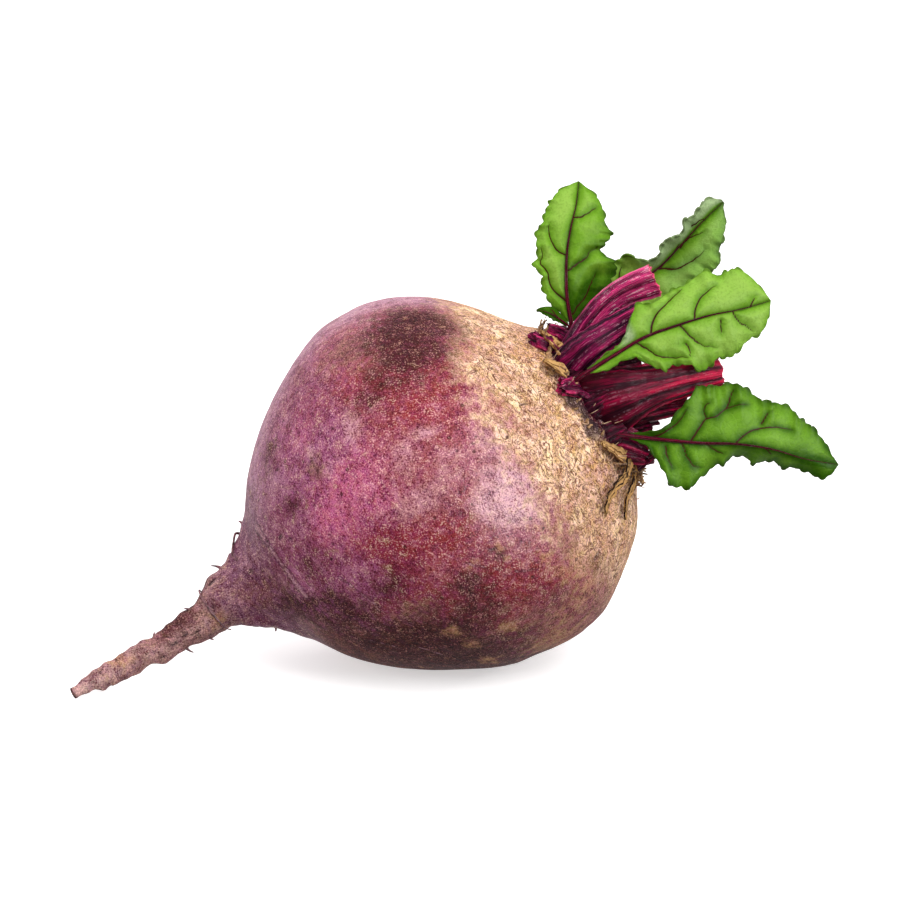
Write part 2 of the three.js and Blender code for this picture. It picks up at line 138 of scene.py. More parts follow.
def rod(line, radii, rough=0.0, seed=0.0):
    """place() for a tube with closed ends along a line, with u round it and v along it."""

    def place(u, v):
        cap = 0.03
        t = np.clip((v - cap) / (1 - 2 * cap), 0, 1)
        inner = np.sqrt(np.clip(np.minimum(v, 1 - v) / cap, 0, 1))
        middle = glide(line, t)
        ahead = heading(line, t)
        side = unit(np.cross(ahead, NEAR))
        front = np.cross(side, ahead)
        radius = glide(radii, t) * inner
        angle = 2 * np.pi * u
        points = (middle + side * (radius * np.cos(angle))[:, None]
                  + front * (radius * np.sin(angle))[:, None])
        if rough:
            points = points + (points - middle) * (rough * grain(points, 0.8, seed))[:, None]
        return points, {}

    return place


# ---- materials ----------------------------------------------------------------------------

EASED = {"interpolation_type": "SMOOTHSTEP"}  # a Map Range that starts and stops gently
TIMES = {"operation": "MULTIPLY"}
MOST = {"operation": "MAXIMUM"}


def colour(hex_value):
    """An sRGB hex colour as the linear colour that a shader takes."""
    parts = [int(hex_value[i:i + 2], 16) / 255 for i in (1, 3, 5)]
    return tuple(p / 12.92 if p <= 0.04045 else ((p + 0.055) / 1.055) ** 2.4 for p in parts) + (1.0,)


def feed(tree, made, inputs):
    """Feeds a node's inputs. Each takes a value, a socket, a hex colour or the name of a mark."""
    for key, value in inputs.items() if isinstance(inputs, dict) else enumerate(inputs):
        if isinstance(value, str) and value.startswith("#"):
            value = colour(value)
        elif isinstance(value, str):
            value = add(tree, "Attribute", out="Fac", attribute_name=value)
        if isinstance(value, bpy.types.NodeSocket):
            tree.links.new(value, made.inputs[key])
        else:
            made.inputs[key].default_value = value


def add(tree, kind, inputs=(), out=0, **settings):
    """Adds a node with its settings and what feeds it, and gives its output."""
    made = tree.nodes.new("ShaderNode" + kind)
    for name, value in settings.items():
        setattr(made, name, value)
    feed(tree, made, inputs)
    return made.outputs[out]


def new_material(name):
    """An empty material, and the function that adds nodes to it."""
    material = bpy.data.materials.new(name)
    material.use_nodes = True
    return material, partial(add, material.node_tree)


def finish(material, roughness, specular, ground, relief, strength, depth):
    """Gives the shader its gloss, its colour, and relief about depth millimetres deep."""
    tree = material.node_tree
    bump = add(tree, "Bump", {"Height": relief, "Strength": strength, "Distance": depth * MM})
    feed(tree, tree.nodes["Principled BSDF"], {
        "Base Color": ground, "Roughness": roughness, "Specular IOR Level": specular,
        "IOR": TISSUE_IOR, "Normal": bump,
    })
    return material


def coats(node, ground, *rows):
    """Lays coats of colour over the ground in turn.

    A row is a colour and its amount, or a colour, a value, the values between which the coat
    comes in, and how much of it there is at most.
    """
    for above, amount, *span in rows:
        if span:
            amount = node("MapRange", [amount, *span[:2], 0.0, *(span[2:] or [1.0])], **EASED)
        ground = node("Mix", {0: amount, 6: ground, 7: above}, 2, data_type="RGBA")
    return ground


def summed(node, total, *shares):
    """The total plus each value times its share."""
    for value, share in shares:
        total = node("Math", [value, share, total], operation="MULTIPLY_ADD")
    return total


def per_mm(size):
    """The texture scale at which a pattern repeats every size millimetres."""
    return 1 / (size * MM)


TISSUE_IOR = 1.45  # of plant tissue, fresh or dry

# The skin's noises: [size in mm, detail, roughness, distortion, squeeze along the root's axis].
SKIN_NOISES = {
    "broad": [13, 3, 0.55, 0, 1], "cloud": [4.5, 4, 0.6, 0, 1], "flock": [1.3, 3, 0.65, 0, 1],
    "fine": [0.3, 1, 0.6, 0, 1], "middling": [2.2, 4, 0.72, 0, 1], "fleck": [2.4, 5, 0.7, 0, 1],
    "scuff": [5, 5, 0.62, 0.5, 1], "gap": [1.9, 3, 0.55, 0, 1], "bark": [0.95, 2, 0.6, 1.2, 1],
    "streak": [1.5, 4, 0.65, 0.3, 0.3], "band": [4.5, 5, 0.65, 0.4, 2.4],
    "wrinkle": [2, 1, 0.5, 1.2, 1.7], "crease": [1.2, 1, 0.5, 1.2, 1.7],
}
CELL, CELL_SQUEEZE, CELL_BEND = 2.1, 1.9, 1.3  # the cork's cells: size, squeeze and bend
PORE_SPACING = 2.9


def skin_material():
    """Beetroot skin: thin dusty bark over wet magenta flesh, grown corky and tan at the shoulder.

    It gives a fine grain of pale and dark specks, soft blotches and a low waxy sheen, with painted shade
    underneath, a painted highlight on the near side and a painted sheen along the top.
    """
    material, node = new_material("beetroot skin")
    place = node("TexCoord", out="Object")
    turned = node("Mapping", {"Vector": place, "Rotation": (0.0, AXIS_TILT, 0.0)})
    seen = {}
    for name, (size, detail, rough, warp, squeeze) in SKIN_NOISES.items():
        where = place
        if squeeze != 1:
            where = node("Mapping", {"Vector": turned, "Scale": (squeeze, 1.0, 1.0)})
        seen[name] = node("TexNoise", {"Vector": where, "Scale": per_mm(size), "Detail": detail,
                                       "Roughness": rough, "Distortion": warp})
    broad, cloud, flock, fleck, streak, band = (
        seen[name] for name in ("broad", "cloud", "flock", "fleck", "streak", "band"))
    fray = summed(node, -1.1, (cloud, 0.7), (flock, 0.6), (seen["middling"], 0.9))  # about 0

    def frayed(name, ragged):
        """A field of colour with its edge broken up by the grain."""
        return summed(node, name, (fray, ragged))

    # The living skin: purple, rose and crimson in soft fields, worn and brown below, and darker underneath
    # as painted shade.
    worn_and_shaded = node("Math", ["low", "tail"], **MOST)
    ground = coats(
        node, "#843e5b",
        ("#985274", broad, 0.38, 0.62),
        ("#8f4250", frayed("warm", 0.6), 0.05, 1.0),
        # A lilac bloom, laid along the upper side partly as a painted sheen.
        ("#a7788f", frayed("bloom", 0.4), 0.1, 1.1),
        ("#bf5a80", frayed("rose", 0.5), 0.05, 1.1, 0.85),
        ("#664052", frayed("neck", 0.7), 0.1, 0.9, 0.75),
        ("#9a7674", frayed("tail", 0.7), 0.1, 0.9),
        # Pale skin, and a painted highlight right of the bulb's middle on the near side.
        ("#d0a2a8", frayed("pale", 0.8), 0.1, 1.1, 0.85),
        ("#c08d98", seen["scuff"], 0.54, 0.74, 0.14),
        ("#c08c95", band, 0.52, 0.64, 0.25),
        ("#5a1228", band, 0.48, 0.36, 0.4),
        ("#80192b", frayed("crimson", 0.6), 0.1, 1.0, 0.8),
        # Worn skin and painted shade: dark on the side that faces down.
        ("#4e1a20", frayed("low", 0.7), 0.1, 0.9, 0.9),
        ("#5c1730", fleck, 0.5, 0.32, 0.6),
        ("#cc95a4", fleck, 0.53, 0.7, 0.28),
        ("#ab7552", band, 0.46, 0.6, node("Math", ["low", 0.6], **TIMES)),
        ("#c7a294", streak, 0.52, 0.64, node("Math", ["tail", 0.5], **TIMES)),
        ("#3f1220", streak, 0.48, 0.36, node("Math", [worn_and_shaded, 0.7], **TIMES)),
    )

    # The corky shoulder, golden at the collar, and then bark, deep purple stains, painted shade under the
    # bulb, and ochre.
    cork = node("MapRange", [frayed("cork", 1.0), 0.12, 0.9], **EASED)
    tan = coats(
        node, "#cd9e78",
        ("#f0cda6", cloud, 0.38, 0.62),
        ("#bf8c80", broad, 0.47, 0.62, 0.5),
        ("#c98f48", flock, 0.48, 0.66, summed(node, 0.25, ("collar", 0.4))),
        ("#f6dfc4", flock, 0.48, 0.34, 0.45),
    )
    ground = coats(
        node, ground,
        (tan, cork),
        ("#805450", frayed("dust", 1.0), 0.2, 1.0, 0.75),
        # Deep purple stains, and painted shade where the dark fields lie under the bulb.
        ("#35020f", frayed("dark", 1.5), 0.1, 0.95, 0.97),
        ("#bd8a60", frayed("ochre", 1.6), 0.2, 1.1, 0.6),
        ("#a87666", fleck, 0.47, 0.62, node("Math", ["mottled", 0.4], **TIMES)),
    )

    # Lines in the cork: bent cell walls with gaps, and two sizes of wrinkle that take turns.
    bend = node("TexNoise", {"Vector": place, "Scale": per_mm(1.6), "Detail": 2.0}, "Color")
    bend = node("VectorMath", [bend, (CELL_BEND * MM,) * 3], **TIMES)
    squeezed = node("Mapping", {"Vector": turned, "Scale": (CELL_SQUEEZE, 1.0, 1.0)})
    walls = node("TexVoronoi", {"Vector": node("VectorMath", [squeezed, bend]), "Scale": per_mm(CELL)},
                 "Distance", feature="DISTANCE_TO_EDGE")
    broken = node("MapRange", [seen["gap"], 0.52, 0.64], **EASED)
    crack = node("MapRange", [walls, 0.08, 0.01, 0.0, broken], **EASED)
    for name, low, high in (("wrinkle", 0.42, 0.54), ("crease", 0.58, 0.46)):
        turn = node("MapRange", [cloud, low, high], **EASED)
        middle = node("Math", [seen[name], 0.5], operation="SUBTRACT")
        middle = node("Math", [middle], operation="ABSOLUTE")
        fold = node("MapRange", [middle, 0.07, 0.01, 0.0, turn], **EASED)
        crack = node("Math", [crack, fold], **MOST)
    lines = node("Math", [crack, summed(node, 0.08, (cork, 0.9))], **TIMES)

    # Pores, crevices where the skin is old or stained, the crown's tissue, scratches, and nicks with the
    # painted shade of the gap under the crown.
    pores = node("TexVoronoi", {"Vector": place, "Scale": per_mm(PORE_SPACING)}, "Distance")
    open_pores = node("MapRange", [cloud, 0.46, 0.54, 0.0, 0.75], **EASED)
    old = node("Math", ["dust", "dark"], **MOST)
    crevice = node("MapRange", [seen["bark"], 0.46, 0.36, 0.0, node("Math", [old, 0.7], **TIMES)], **EASED)
    ground = coats(
        node, ground,
        ("#643620", node("Math", [lines, 0.95], **TIMES)),
        ("#3a1512", pores, 0.17, 0.1, open_pores),
        ("#23080f", crevice),
        (coats(node, "#2d0813", ("#5f1a2c", flock, 0.4, 0.65)), "crown"),
        ("#33101d", "scar", 0.1, 0.3, 0.5),
        ("#c08f9a", "scar", 0.45, 0.75, 0.5),
        # Nicks, and painted shade in the gap under the crown's near side.
        ("#260a14", node("Math", ["nick", 0.9], **TIMES)),
    )

    # Grain from 2 mm down to 0.3 mm: pale specks and deep-coloured ones, warmer or cooler in turn.
    speck = summed(node, 0.0, (seen["fine"], 0.6), (seen["middling"], 0.4))
    deepened = node("MapRange", [speck, 0.5, 0.36, 0.0, summed(node, 1.0, (cork, -0.3))], **EASED)
    deep = coats(node, "#98566f", ("#ab8360", cork))
    ground = node("Mix", {0: deepened, 6: ground, 7: deep}, 2, data_type="RGBA", blend_type="MULTIPLY")
    matt = node("Math", [old, "low"], **MOST)
    ground = coats(node, ground, (coats(node, "#ecc0b4", ("#c98a7c", matt)), speck, 0.53, 0.66, 0.5))
    hue = node("MapRange", [flock, 0.3, 0.7, 0.485, 0.515], **EASED)
    ground = node("HueSaturation", {"Color": ground, "Hue": hue, "Value": 1.2})

    matt = node("Math", [matt, cork], **MOST)
    roughness = node("MapRange", [matt, 0.0, 1.0, 0.38, 0.62], **EASED)
    relief = summed(node, flock, (speck, 0.6), (lines, -1.0), (crevice, -0.8))
    return finish(material, roughness, 0.1, ground, relief, strength=0.6, depth=0.5)


def stalk_material():
    """Leaf stalk: wet ribbed tissue under a clear film. It gives glossy magenta fibres on near-black, with
    painted wet glints.
    """
    material, node = new_material("beet stalk")
    uv, place = node("UVMap"), node("TexCoord", out="Object")
    # Fibres run along it: bands, some 22 of them round it and 2 along, and threads, 75 and 5.
    bands, threads = (
        node("TexNoise", {"Vector": node("Mapping", {"Vector": uv, "Scale": (across, along, 1.0)}),
                          "Scale": 1.0, "Detail": 3.0, "Roughness": 0.6})
        for across, along in ((22.0, 2.0), (75.0, 5.0)))
    mottle = node("TexNoise", {"Vector": place, "Scale": per_mm(0.9), "Detail": 4.0, "Roughness": 0.7})
    # How light the flesh is, from its fibre bands and ribs, and from the glow, which is painted light and
    # shade.
    lit = summed(node, -0.7, ("glow", 1.0), ("rib", 0.5), (bands, 3.0))
    deep, flesh, bright = (
        coats(node, red, (purple, "tint"))
        for red, purple in (("#3c0a14", "#2e0b28"), ("#700529", "#7a1248"), ("#c40038", "#e64084")))
    glint_amount = summed(node, 0.1, (node("Math", ["tint", "glow"], **TIMES), 1.1))
    painted_glint_dashes = node("MapRange", [mottle, 0.45, 0.55, 0.0, glint_amount], **EASED)
    ground = coats(
        node, deep,
        (flesh, lit, 0.75, 1.3),
        (bright, lit, 1.25, 1.95),
        ("#1c0414", "rib", 0.35, 0.0, 0.6),
        ("#190410", threads, 0.52, 0.62, 0.7),
        # Painted wet glints: short whitish dashes along the fibres.
        ("#f6c3d3", threads, 0.45, 0.39, painted_glint_dashes),
        ("#160409", mottle, 0.58, 0.72, 0.6),
        # Painted shade in the hollow of the torn end, and the crown scales' dry tips.
        ("#240610", "cut"),
        ("#e23a66", node("Math", ["lip", "glow"], **TIMES)),
    )
    relief = summed(node, bands, (mottle, 0.6), (threads, -1.0))
    return finish(material, 0.3, 0.05, ground, relief, strength=0.6, depth=0.5)


def leaf_material(name, light, fresh, dark, roughness, shine):
    """Young leaf: waxy green skin puffed up between sunk veins. It gives soft cushions, lighter on top as
    painted light, with painted shade beside the veins.
    """
    material, node = new_material(name)
    uv, place = node("UVMap"), node("TexCoord", out="Object")
    cloud, tiny = (node("TexNoise", {"Vector": place, "Scale": per_mm(size), "Detail": 3.0})
                   for size in (5, 0.45))
    # The net of the finest veins, bent a little so that no mesh of it is straight.
    warp = node("TexNoise", {"Vector": uv, "Scale": 34.0, "Detail": 2.0}, "Color")
    warp = node("VectorMath", [warp, (0.03, 0.03, 0.0)], **TIMES)
    net = node("TexVoronoi", {"Vector": node("VectorMath", [uv, warp]), "Scale": LEAF_UV / NET_MESH,
                              "Randomness": 0.9}, "Distance", feature="DISTANCE_TO_EDGE")
    netting = node("MapRange", [net, 0.12, 0.0], **EASED)
    # Painted light and shade: lighter on the puffed cushions, darker where a leaf or its side lies in
    # shade.
    tone = summed(node, 0.0, (cloud, 1.1), ("tone", 1.0), ("puff", -1.0))
    ground = coats(
        node, light,
        (fresh, tone, -0.2, 0.55),
        (dark, tone, 0.4, 1.25),
        ("#a2b38c", "grey"),
        ("#a6c65c", node("Math", [netting, 0.03], **TIMES)),
        ("#2c5204", tiny, 0.46, 0.7, 0.2),
        # Painted shade in the sunk grooves beside the veins.
        ("#2a4610", "near_vein", 0.2, 1.0, 0.3),
        ("#33431a", "margin", 0.3, 1.0, 0.5),
        ("#3c1812", "vein", 0.15, 0.6),
    )
    relief = summed(node, tiny, (netting, -0.5))
    return finish(material, roughness, shine, ground, relief, strength=0.35, depth=0.2)


def plain_material(name, light, dark, size, roughness):
    """Dry tissue such as husk or fibre: matt, and mottled from light to dark."""
    material, node = new_material(name)
    mottle = node("TexNoise", {"Vector": node("TexCoord", out="Object"), "Scale": per_mm(size),
                               "Detail": 4.0, "Roughness": 0.65})
    ground = coats(node, light, (dark, mottle, 0.38, 0.64))
    return finish(material, roughness, 0.25, ground, mottle, strength=0.6, depth=0.3)


def husk_material(name, light, dark, low, high):
    """A dried peel of old stalk: some three long stripes, tan to black, on a matt fibrous surface."""
    material, node = new_material(name)
    mottle = node("TexNoise", {"Vector": node("TexCoord", out="Object"), "Scale": per_mm(1.2),
                               "Detail": 4.0})
    phase = summed(node, 0.0, ("across", 17.0), (mottle, 6.0))
    stripes = node("Math", [phase], operation="SINE")
    ground = coats(node, light, (dark, stripes, low, high), (dark, mottle, 0.55, 0.68, 0.7))
    return finish(material, 0.75, 0.05, ground, stripes, strength=0.6, depth=0.25)


# ---- the root -----------------------------------------------------------------------------
# The same form as the CAD root, whose sizes these are, with its relief added. Places along the
# axis start at the bulb's middle and rise towards the leaves. Angles round it are 0 on the upper
# side and 90 on the near side.

BULB_HEIGHT = 35.6
AXIS_TILT = math.radians(30.3)
TAIL_END = -85.4
NECK = -36.4
TAIL_BEND = np.array([2.5, -27.6, 8.7])
TAIL_BEND_POWER = np.array([1.3, 1.3, 1.5])
TAIL_SWELL, TAIL_SWELL_TURN = 0.07, 0.62
# The bulb's lobes: [how many, height as a share of the radius, turn].
BULB_LOBES = [[2, 0.006, 2.2], [3, 0.008, -1.1]]
SHOULDER_SAG, SHOULDER_LIFT = 2.1, 1
NECK_RISE, NECK_RISE_AT, NECK_RISE_REACH = 1.5, -49, 7
RIM_SLANT = [0.09, 0.08]
UNDERSIDE_SHAVE, SHAVE_MIDDLE, SHAVE_REACH = 0.053, -15, 20
LOW_RIM_SHAVE, LOW_RIM_BACK = 0.09, 1.3
SETTLE_FROM, SETTLE_FLAT = 4, -0.15  # skin below the first height eases; below the second it lies flat
# The bare form's radius along the axis: [place, radius].
ROOT_PROFILE = [
    [-85.4, 1.15], [-81, 1.75], [-76.5, 2.3], [-70, 2.5], [-64.5, 2.95], [-59, 3.4], [-53, 4.5],
    [-48.5, 6.4], [-44.5, 8.3], [-40.5, 11.5], [-36.5, 15.7], [-32.5, 21.3], [-28.5, 25.6], [-24.4, 29.2],
    [-20.3, 32.2], [-16.2, 34.7], [-12, 36.9], [-8, 38.7], [-4, 39.8], [0, 40], [4, 40], [8, 39.5],
    [12, 38.4], [16.2, 36.6], [20.3, 33.7], [24.4, 30], [28.3, 26], [31.6, 22.4], [34.6, 19.2],
    [36.2, 17], [36.6, 15], [38, 13.6], [40, 11.2], [41.8, 7.5], [42.6, 3.6],
]
AXIS = np.array([math.cos(AXIS_TILT), 0, math.sin(AXIS_TILT)])
UPPER = np.array([-math.sin(AXIS_TILT), 0, math.cos(AXIS_TILT)])
NEAR = np.array([0.0, -1.0, 0.0])

# The skin's grid, round and along, and where along it the two end faces stop and start.
SKIN_GRID = (350, 256)
TAIL_FACE, CROWN_FACE = 0.008, 0.995
CROWN_RIM = 34.9  # the place along the axis where the shoulder ends and the crown starts
LOW_SIDE = 150  # the bearing of the skin's worn side, which faces down and near, and is painted darker there as shade

# Knobs along the tail: [place along the axis, angle in degrees, width, height].
KNOBS = [
    [-58.5, 350, 2.2, 0.4], [-68.5, 20, 3, 0.6], [-77, 10, 2.2, 0.4], [-79.8, 165, 2, 0.7],
    [-66.6, 160, 2, 0.7], [-72.5, 165, 2.4, 0.5], [-58, 170, 2.4, 0.4], [-51, 350, 2.2, 0.5],
    [-72, 250, 2.4, 0.6], [-55, 270, 2.8, 0.7], [-47.5, 175, 2.6, 0.5], [-66, 220, 2.2, 0.6],
    [-81, 300, 1.6, 0.4],
]
# Nicks and pits: [along, angle, length along, width round]. Each is dark and a little sunk.
NICKS = [
    [-49.5, 25, 1.6, 1.1], [-54, 0, 5.5, 1.1], [-59.5, 88, 1.2, 0.5], [-62.5, 95, 0.7, 0.8],
    [-57.5, 100, 1.6, 0.3], [-70, 90, 0.4, 0.5], [-66, 128, 1, 0.8], [-40, 60, 0.9, 0.9],
    [-29, 62, 0.8, 0.5], [-27, 66, 0.7, 0.6], [-32.5, 58, 0.5, 0.4], [-23, 40, 0.6, 0.5],
    [-8, 47, 0.5, 0.6], [-14, 23, 0.7, 0.5], [7.5, 100, 1.2, 0.5], [22.5, 128, 1.3, 0.5],
    [14, 145, 1.4, 0.4], [-3, 12, 0.5, 0.8], [28, 118, 1.4, 0.4], [26, 62, 1.4, 0.4],
    [-20, 240, 0.8, 0.6], [3, 280, 0.9, 0.5], [-36, 200, 1, 0.7], [14, 310, 0.8, 0.6],
]
# Pale healed scratches: [from along, from angle, to along, to angle, width].
SCARS = [
    [-33.5, 44, -30.5, 92, 0.8], [-21.5, 88, -17.5, 103, 0.25], [-28, 102, -24, 112, 0.35],
    [-24, 118, -19, 124, 0.3], [2, 100, 6.5, 106, 0.25], [-16, 124, -13, 131, 0.3],
    [9, 109, 12.5, 112, 0.25], [-12, 250, -2, 262, 0.5],
]
# Soft fields of colour on the skin: [along, angle, reach along, reach round in mm, strength].
FIELDS = {
    # Dark fields from about 120 to 200 degrees round darken the bottom: painted shade.
    "dark": [
        [12.8, 22, 4.6, 6, 1], [17.4, 20, 2.6, 4, 0.7], [9.5, 30, 3.5, 4, 0.8], [5, 24, 3.6, 4, 0.5],
        [13.5, 35, 3.6, 4, 0.6], [11, 40, 4.5, 3.6, 0.55], [5, 44, 4, 3, 0.4], [-58, -4, 5, 1.6, 0.6],
        [-60, 22, 4, 2.6, 0.75], [0.9, 48, 3.2, 3.2, 0.45], [-15, 121, 10, 5, 0.9],
        [-1.5, 115, 4.3, 4.7, 0.65], [-25.2, 102, 5.4, 4.1, 0.75], [-13.8, 97, 3.6, 2.3, 0.6],
        [8.4, 102, 1.3, 1.3, 0.7], [-23.6, 56, 2.3, 2, 0.6], [-33.7, 98, 4.5, 2.8, 0.7],
        [-23.6, 29, 2.5, 4.5, 0.45], [-25.4, 78, 3.1, 2.4, 0.5], [0.1, 106, 2.8, 2.8, 0.6],
        [20.9, 130, 1, 2.2, 0.7], [13.6, 126, 1.8, 3, 0.5], [-14.2, 134, 10, 3.5, 0.9],
        [1.1, 145, 2.6, 7, 0.2], [-12, 150, 14, 12, 0.8], [0, 178, 16, 16, 0.75], [-22, 200, 9, 12, 0.6],
        [14, 318, 6, 9, 0.85], [-14, 262, 6, 10, 0.6], [-30, 290, 5, 6, 0.6], [9, 226, 5, 8, 0.6],
    ],
    # Lilac bloom, and along the upper side near 0 degrees a painted sheen.
    "bloom": [
        [-31.9, 28, 5, 7, 0.8], [-24.4, 12, 4, 8, 0.75], [-16, 3, 4, 7, 0.7], [-6.5, 4, 4, 7, 0.65],
        [3, 2, 4, 7, 0.7], [13, 0, 8, 6, 0.8], [-37.7, 55, 4.3, 4.2, 0.3], [-24.8, 44, 2.4, 2.9, 0.5],
        [-44.7, 55, 3.4, 3.1, 0.5], [-24, 66, 3.8, 2.9, 0.4], [-50.6, 52, 2.6, 2.3, 0.35],
        [-22, 335, 7, 10, 0.7], [-30, 240, 5, 9, 0.5], [-4, 300, 8, 9, 0.5],
    ],
    "rose": [
        [-12.5, 68, 6, 5, 1], [-7.5, 62, 4, 3.7, 0.6], [-10.5, 34, 4.2, 6, 0.3],
        [-17.6, 71, 3.4, 2.5, 0.8], [-5.3, 74, 2.9, 2.4, 0.5], [-15.6, 41, 2.7, 3, 0.4],
        [-16, 80, 2.9, 2.1, 0.4], [17.2, 57, 2.3, 3.4, 0.35], [-8, 285, 7, 9, 0.8], [-18, 312, 5, 6, 0.6],
        [4, 258, 5, 7, 0.6],
    ],
    "crimson": [
        [-5, 110, 6, 4, 0.9], [2, 119, 5, 4, 0.8], [-9, 100, 5, 4, 0.6], [7, 36, 5, 5, 0.7],
        [13, 46, 5, 4.5, 0.7], [-60, 12, 6, 2.2, 0.8], [9.4, 56, 5.2, 3.5, 0.9],
        [-4.9, 86, 6.1, 3.5, 0.95], [3.4, 90, 3.4, 2.6, 1], [11.8, 116, 4.1, 4.1, 0.95],
        [-12.1, 83, 4.2, 2.9, 0.8], [11.8, 67, 3.4, 2.8, 0.5], [6, 108, 3.6, 3.4, 0.9],
        [7.4, 42, 4, 3.5, 0.6], [-1.3, 40, 3.1, 3.1, 0.6], [7.8, 82, 3, 2.7, 0.6],
        [-2.9, 95, 4.7, 3.2, 0.7], [-16.6, 104, 2.4, 1.9, 0.7], [4.8, 73, 3.3, 2.8, 0.4],
        [7.2, 130, 2.3, 3.7, 0.4], [8, 272, 8, 9, 0.9], [-6, 236, 9, 8, 0.8], [6, 340, 5, 8, 0.6],
        [-4, 200, 9, 9, 0.5],
    ],
    # Pale skin, and around 14 along and 84 to 93 degrees a painted highlight.
    "pale": [
        [-4.7, 52, 2, 2.6, 0.75], [-3.9, 46, 1.1, 1.6, 0.5], [-14.4, 49, 1.3, 1.2, 0.7],
        [7.6, 62, 2.2, 1.3, 0.95], [1.7, 66, 2.8, 2.9, 0.55], [5.4, 77, 2.5, 2, 0.5],
        [1.1, 80, 3.4, 2.8, 0.65], [17.8, 70, 3.6, 2.9, 0.7], [16.4, 84, 4.3, 4, 0.9],
        [9.6, 88, 3.3, 2.8, 0.75], [14.2, 93, 2.3, 2.1, 0.8], [-4.1, 80, 1.8, 1.6, 0.5],
        [-18.6, 84, 1.8, 2.3, 0.3], [-5.3, 98, 2.6, 1.8, 0.5], [16.6, 56, 3.2, 1.8, 0.5],
        [-12.5, 57, 1.6, 1.6, 0.5], [18.3, 97, 2, 1.8, 0.5], [-1.1, 85, 0.9, 0.9, 0.5],
        [17.2, 114, 1.4, 1.9, 0.4], [-25.2, 35, 1.5, 2.1, 0.4], [11, 104, 1.5, 1.4, 0.4],
        [8.6, 71, 2.3, 1.7, 0.4], [12, 292, 4, 4, 0.7], [-12, 270, 3, 3, 0.6], [2, 310, 4, 3, 0.6],
        [14, 240, 4, 4, 0.7], [14.6, 92, 4, 3.4, 0.7],
    ],
    "dust": [
        [0.1, 25, 4, 4.6, 0.95], [4.8, 36, 2.8, 3.3, 0.7], [-15.8, 53, 2.1, 2, 0.95],
        [-43.3, 80, 4.1, 3, 0.3], [-15.8, 132, 9.5, 3.4, 0.8], [17, 138, 3.1, 8.1, 0.8],
        [-11.1, 108, 4.1, 2.6, 0.8], [-21.2, 98, 2.9, 2.2, 0.6], [7.8, 128, 3.4, 5.2, 0.7],
        [19.5, 113, 2.1, 2.6, 0.6], [-32.1, 123, 3.3, 4, 0.7], [-66, 80, 12, 14, 0.3],
        [-37.9, 82, 5, 3, 0.5], [-21, 118, 2.6, 2.4, 0.5], [-7.3, 128, 3.3, 3.1, 0.6],
        [-10.5, 17, 1.8, 3.5, 0.5], [12.4, 48, 3.6, 2.4, 0.5], [-54.6, 80, 3.7, 4, 0.25],
        [8.8, 142, 2.6, 7.2, 0.7], [4, 168, 14, 14, 0.8], [12, 200, 9, 14, 0.7], [-14, 222, 7, 8, 0.6],
        [16, 262, 4, 6, 0.6], [-8, 330, 5, 6, 0.7], [-60, 260, 16, 14, 0.6],
    ],
    "ochre": [
        [16.8, 119, 1.9, 2.6, 1], [8.8, 99, 0.9, 1, 1], [9.2, 104, 0.7, 0.7, 0.8],
        [14.4, 110, 0.9, 1, 0.9], [2.6, 101, 1.4, 1.1, 0.7], [18.2, 134, 1.3, 2.8, 0.7],
        [6.6, 148, 1.7, 5.4, 0.8], [-7.9, 118, 1.5, 1.4, 0.8], [2.1, 126, 1.7, 2.1, 0.8],
        [-6.1, 142, 1.4, 2.3, 0.9], [-6.9, 127, 1.4, 2.3, 0.6], [-11.5, 106, 2.9, 1.5, 0.35],
        [2.3, 35, 1, 1.1, 0.7], [15.4, 100, 1.2, 0.9, 0.6], [24.1, 130, 1.2, 2.9, 0.5],
        [14.2, 92, 1.6, 1.1, 0.4], [-5.3, 78, 0.8, 0.6, 0.5], [-20.4, 92, 0.9, 1.2, 0.4],
        [14, 170, 3, 5, 0.8], [10, 215, 3, 4, 0.8], [12, 250, 2, 2, 0.8], [3, 232, 1.5, 2, 0.7],
        [17, 300, 2, 3, 0.6], [20.3, 122, 3.5, 4, 0.6], [27, 119, 4, 5, 0.6], [16, 132, 4, 4, 0.5],
        [10.6, 134, 3, 3, 0.5], [-52.4, 118, 1.6, 1.2, 1], [-75, 60, 5, 4, 0.4], [5, 146, 5, 4, 0.7],
        [10, 150, 4, 5, 0.6],
    ],
}


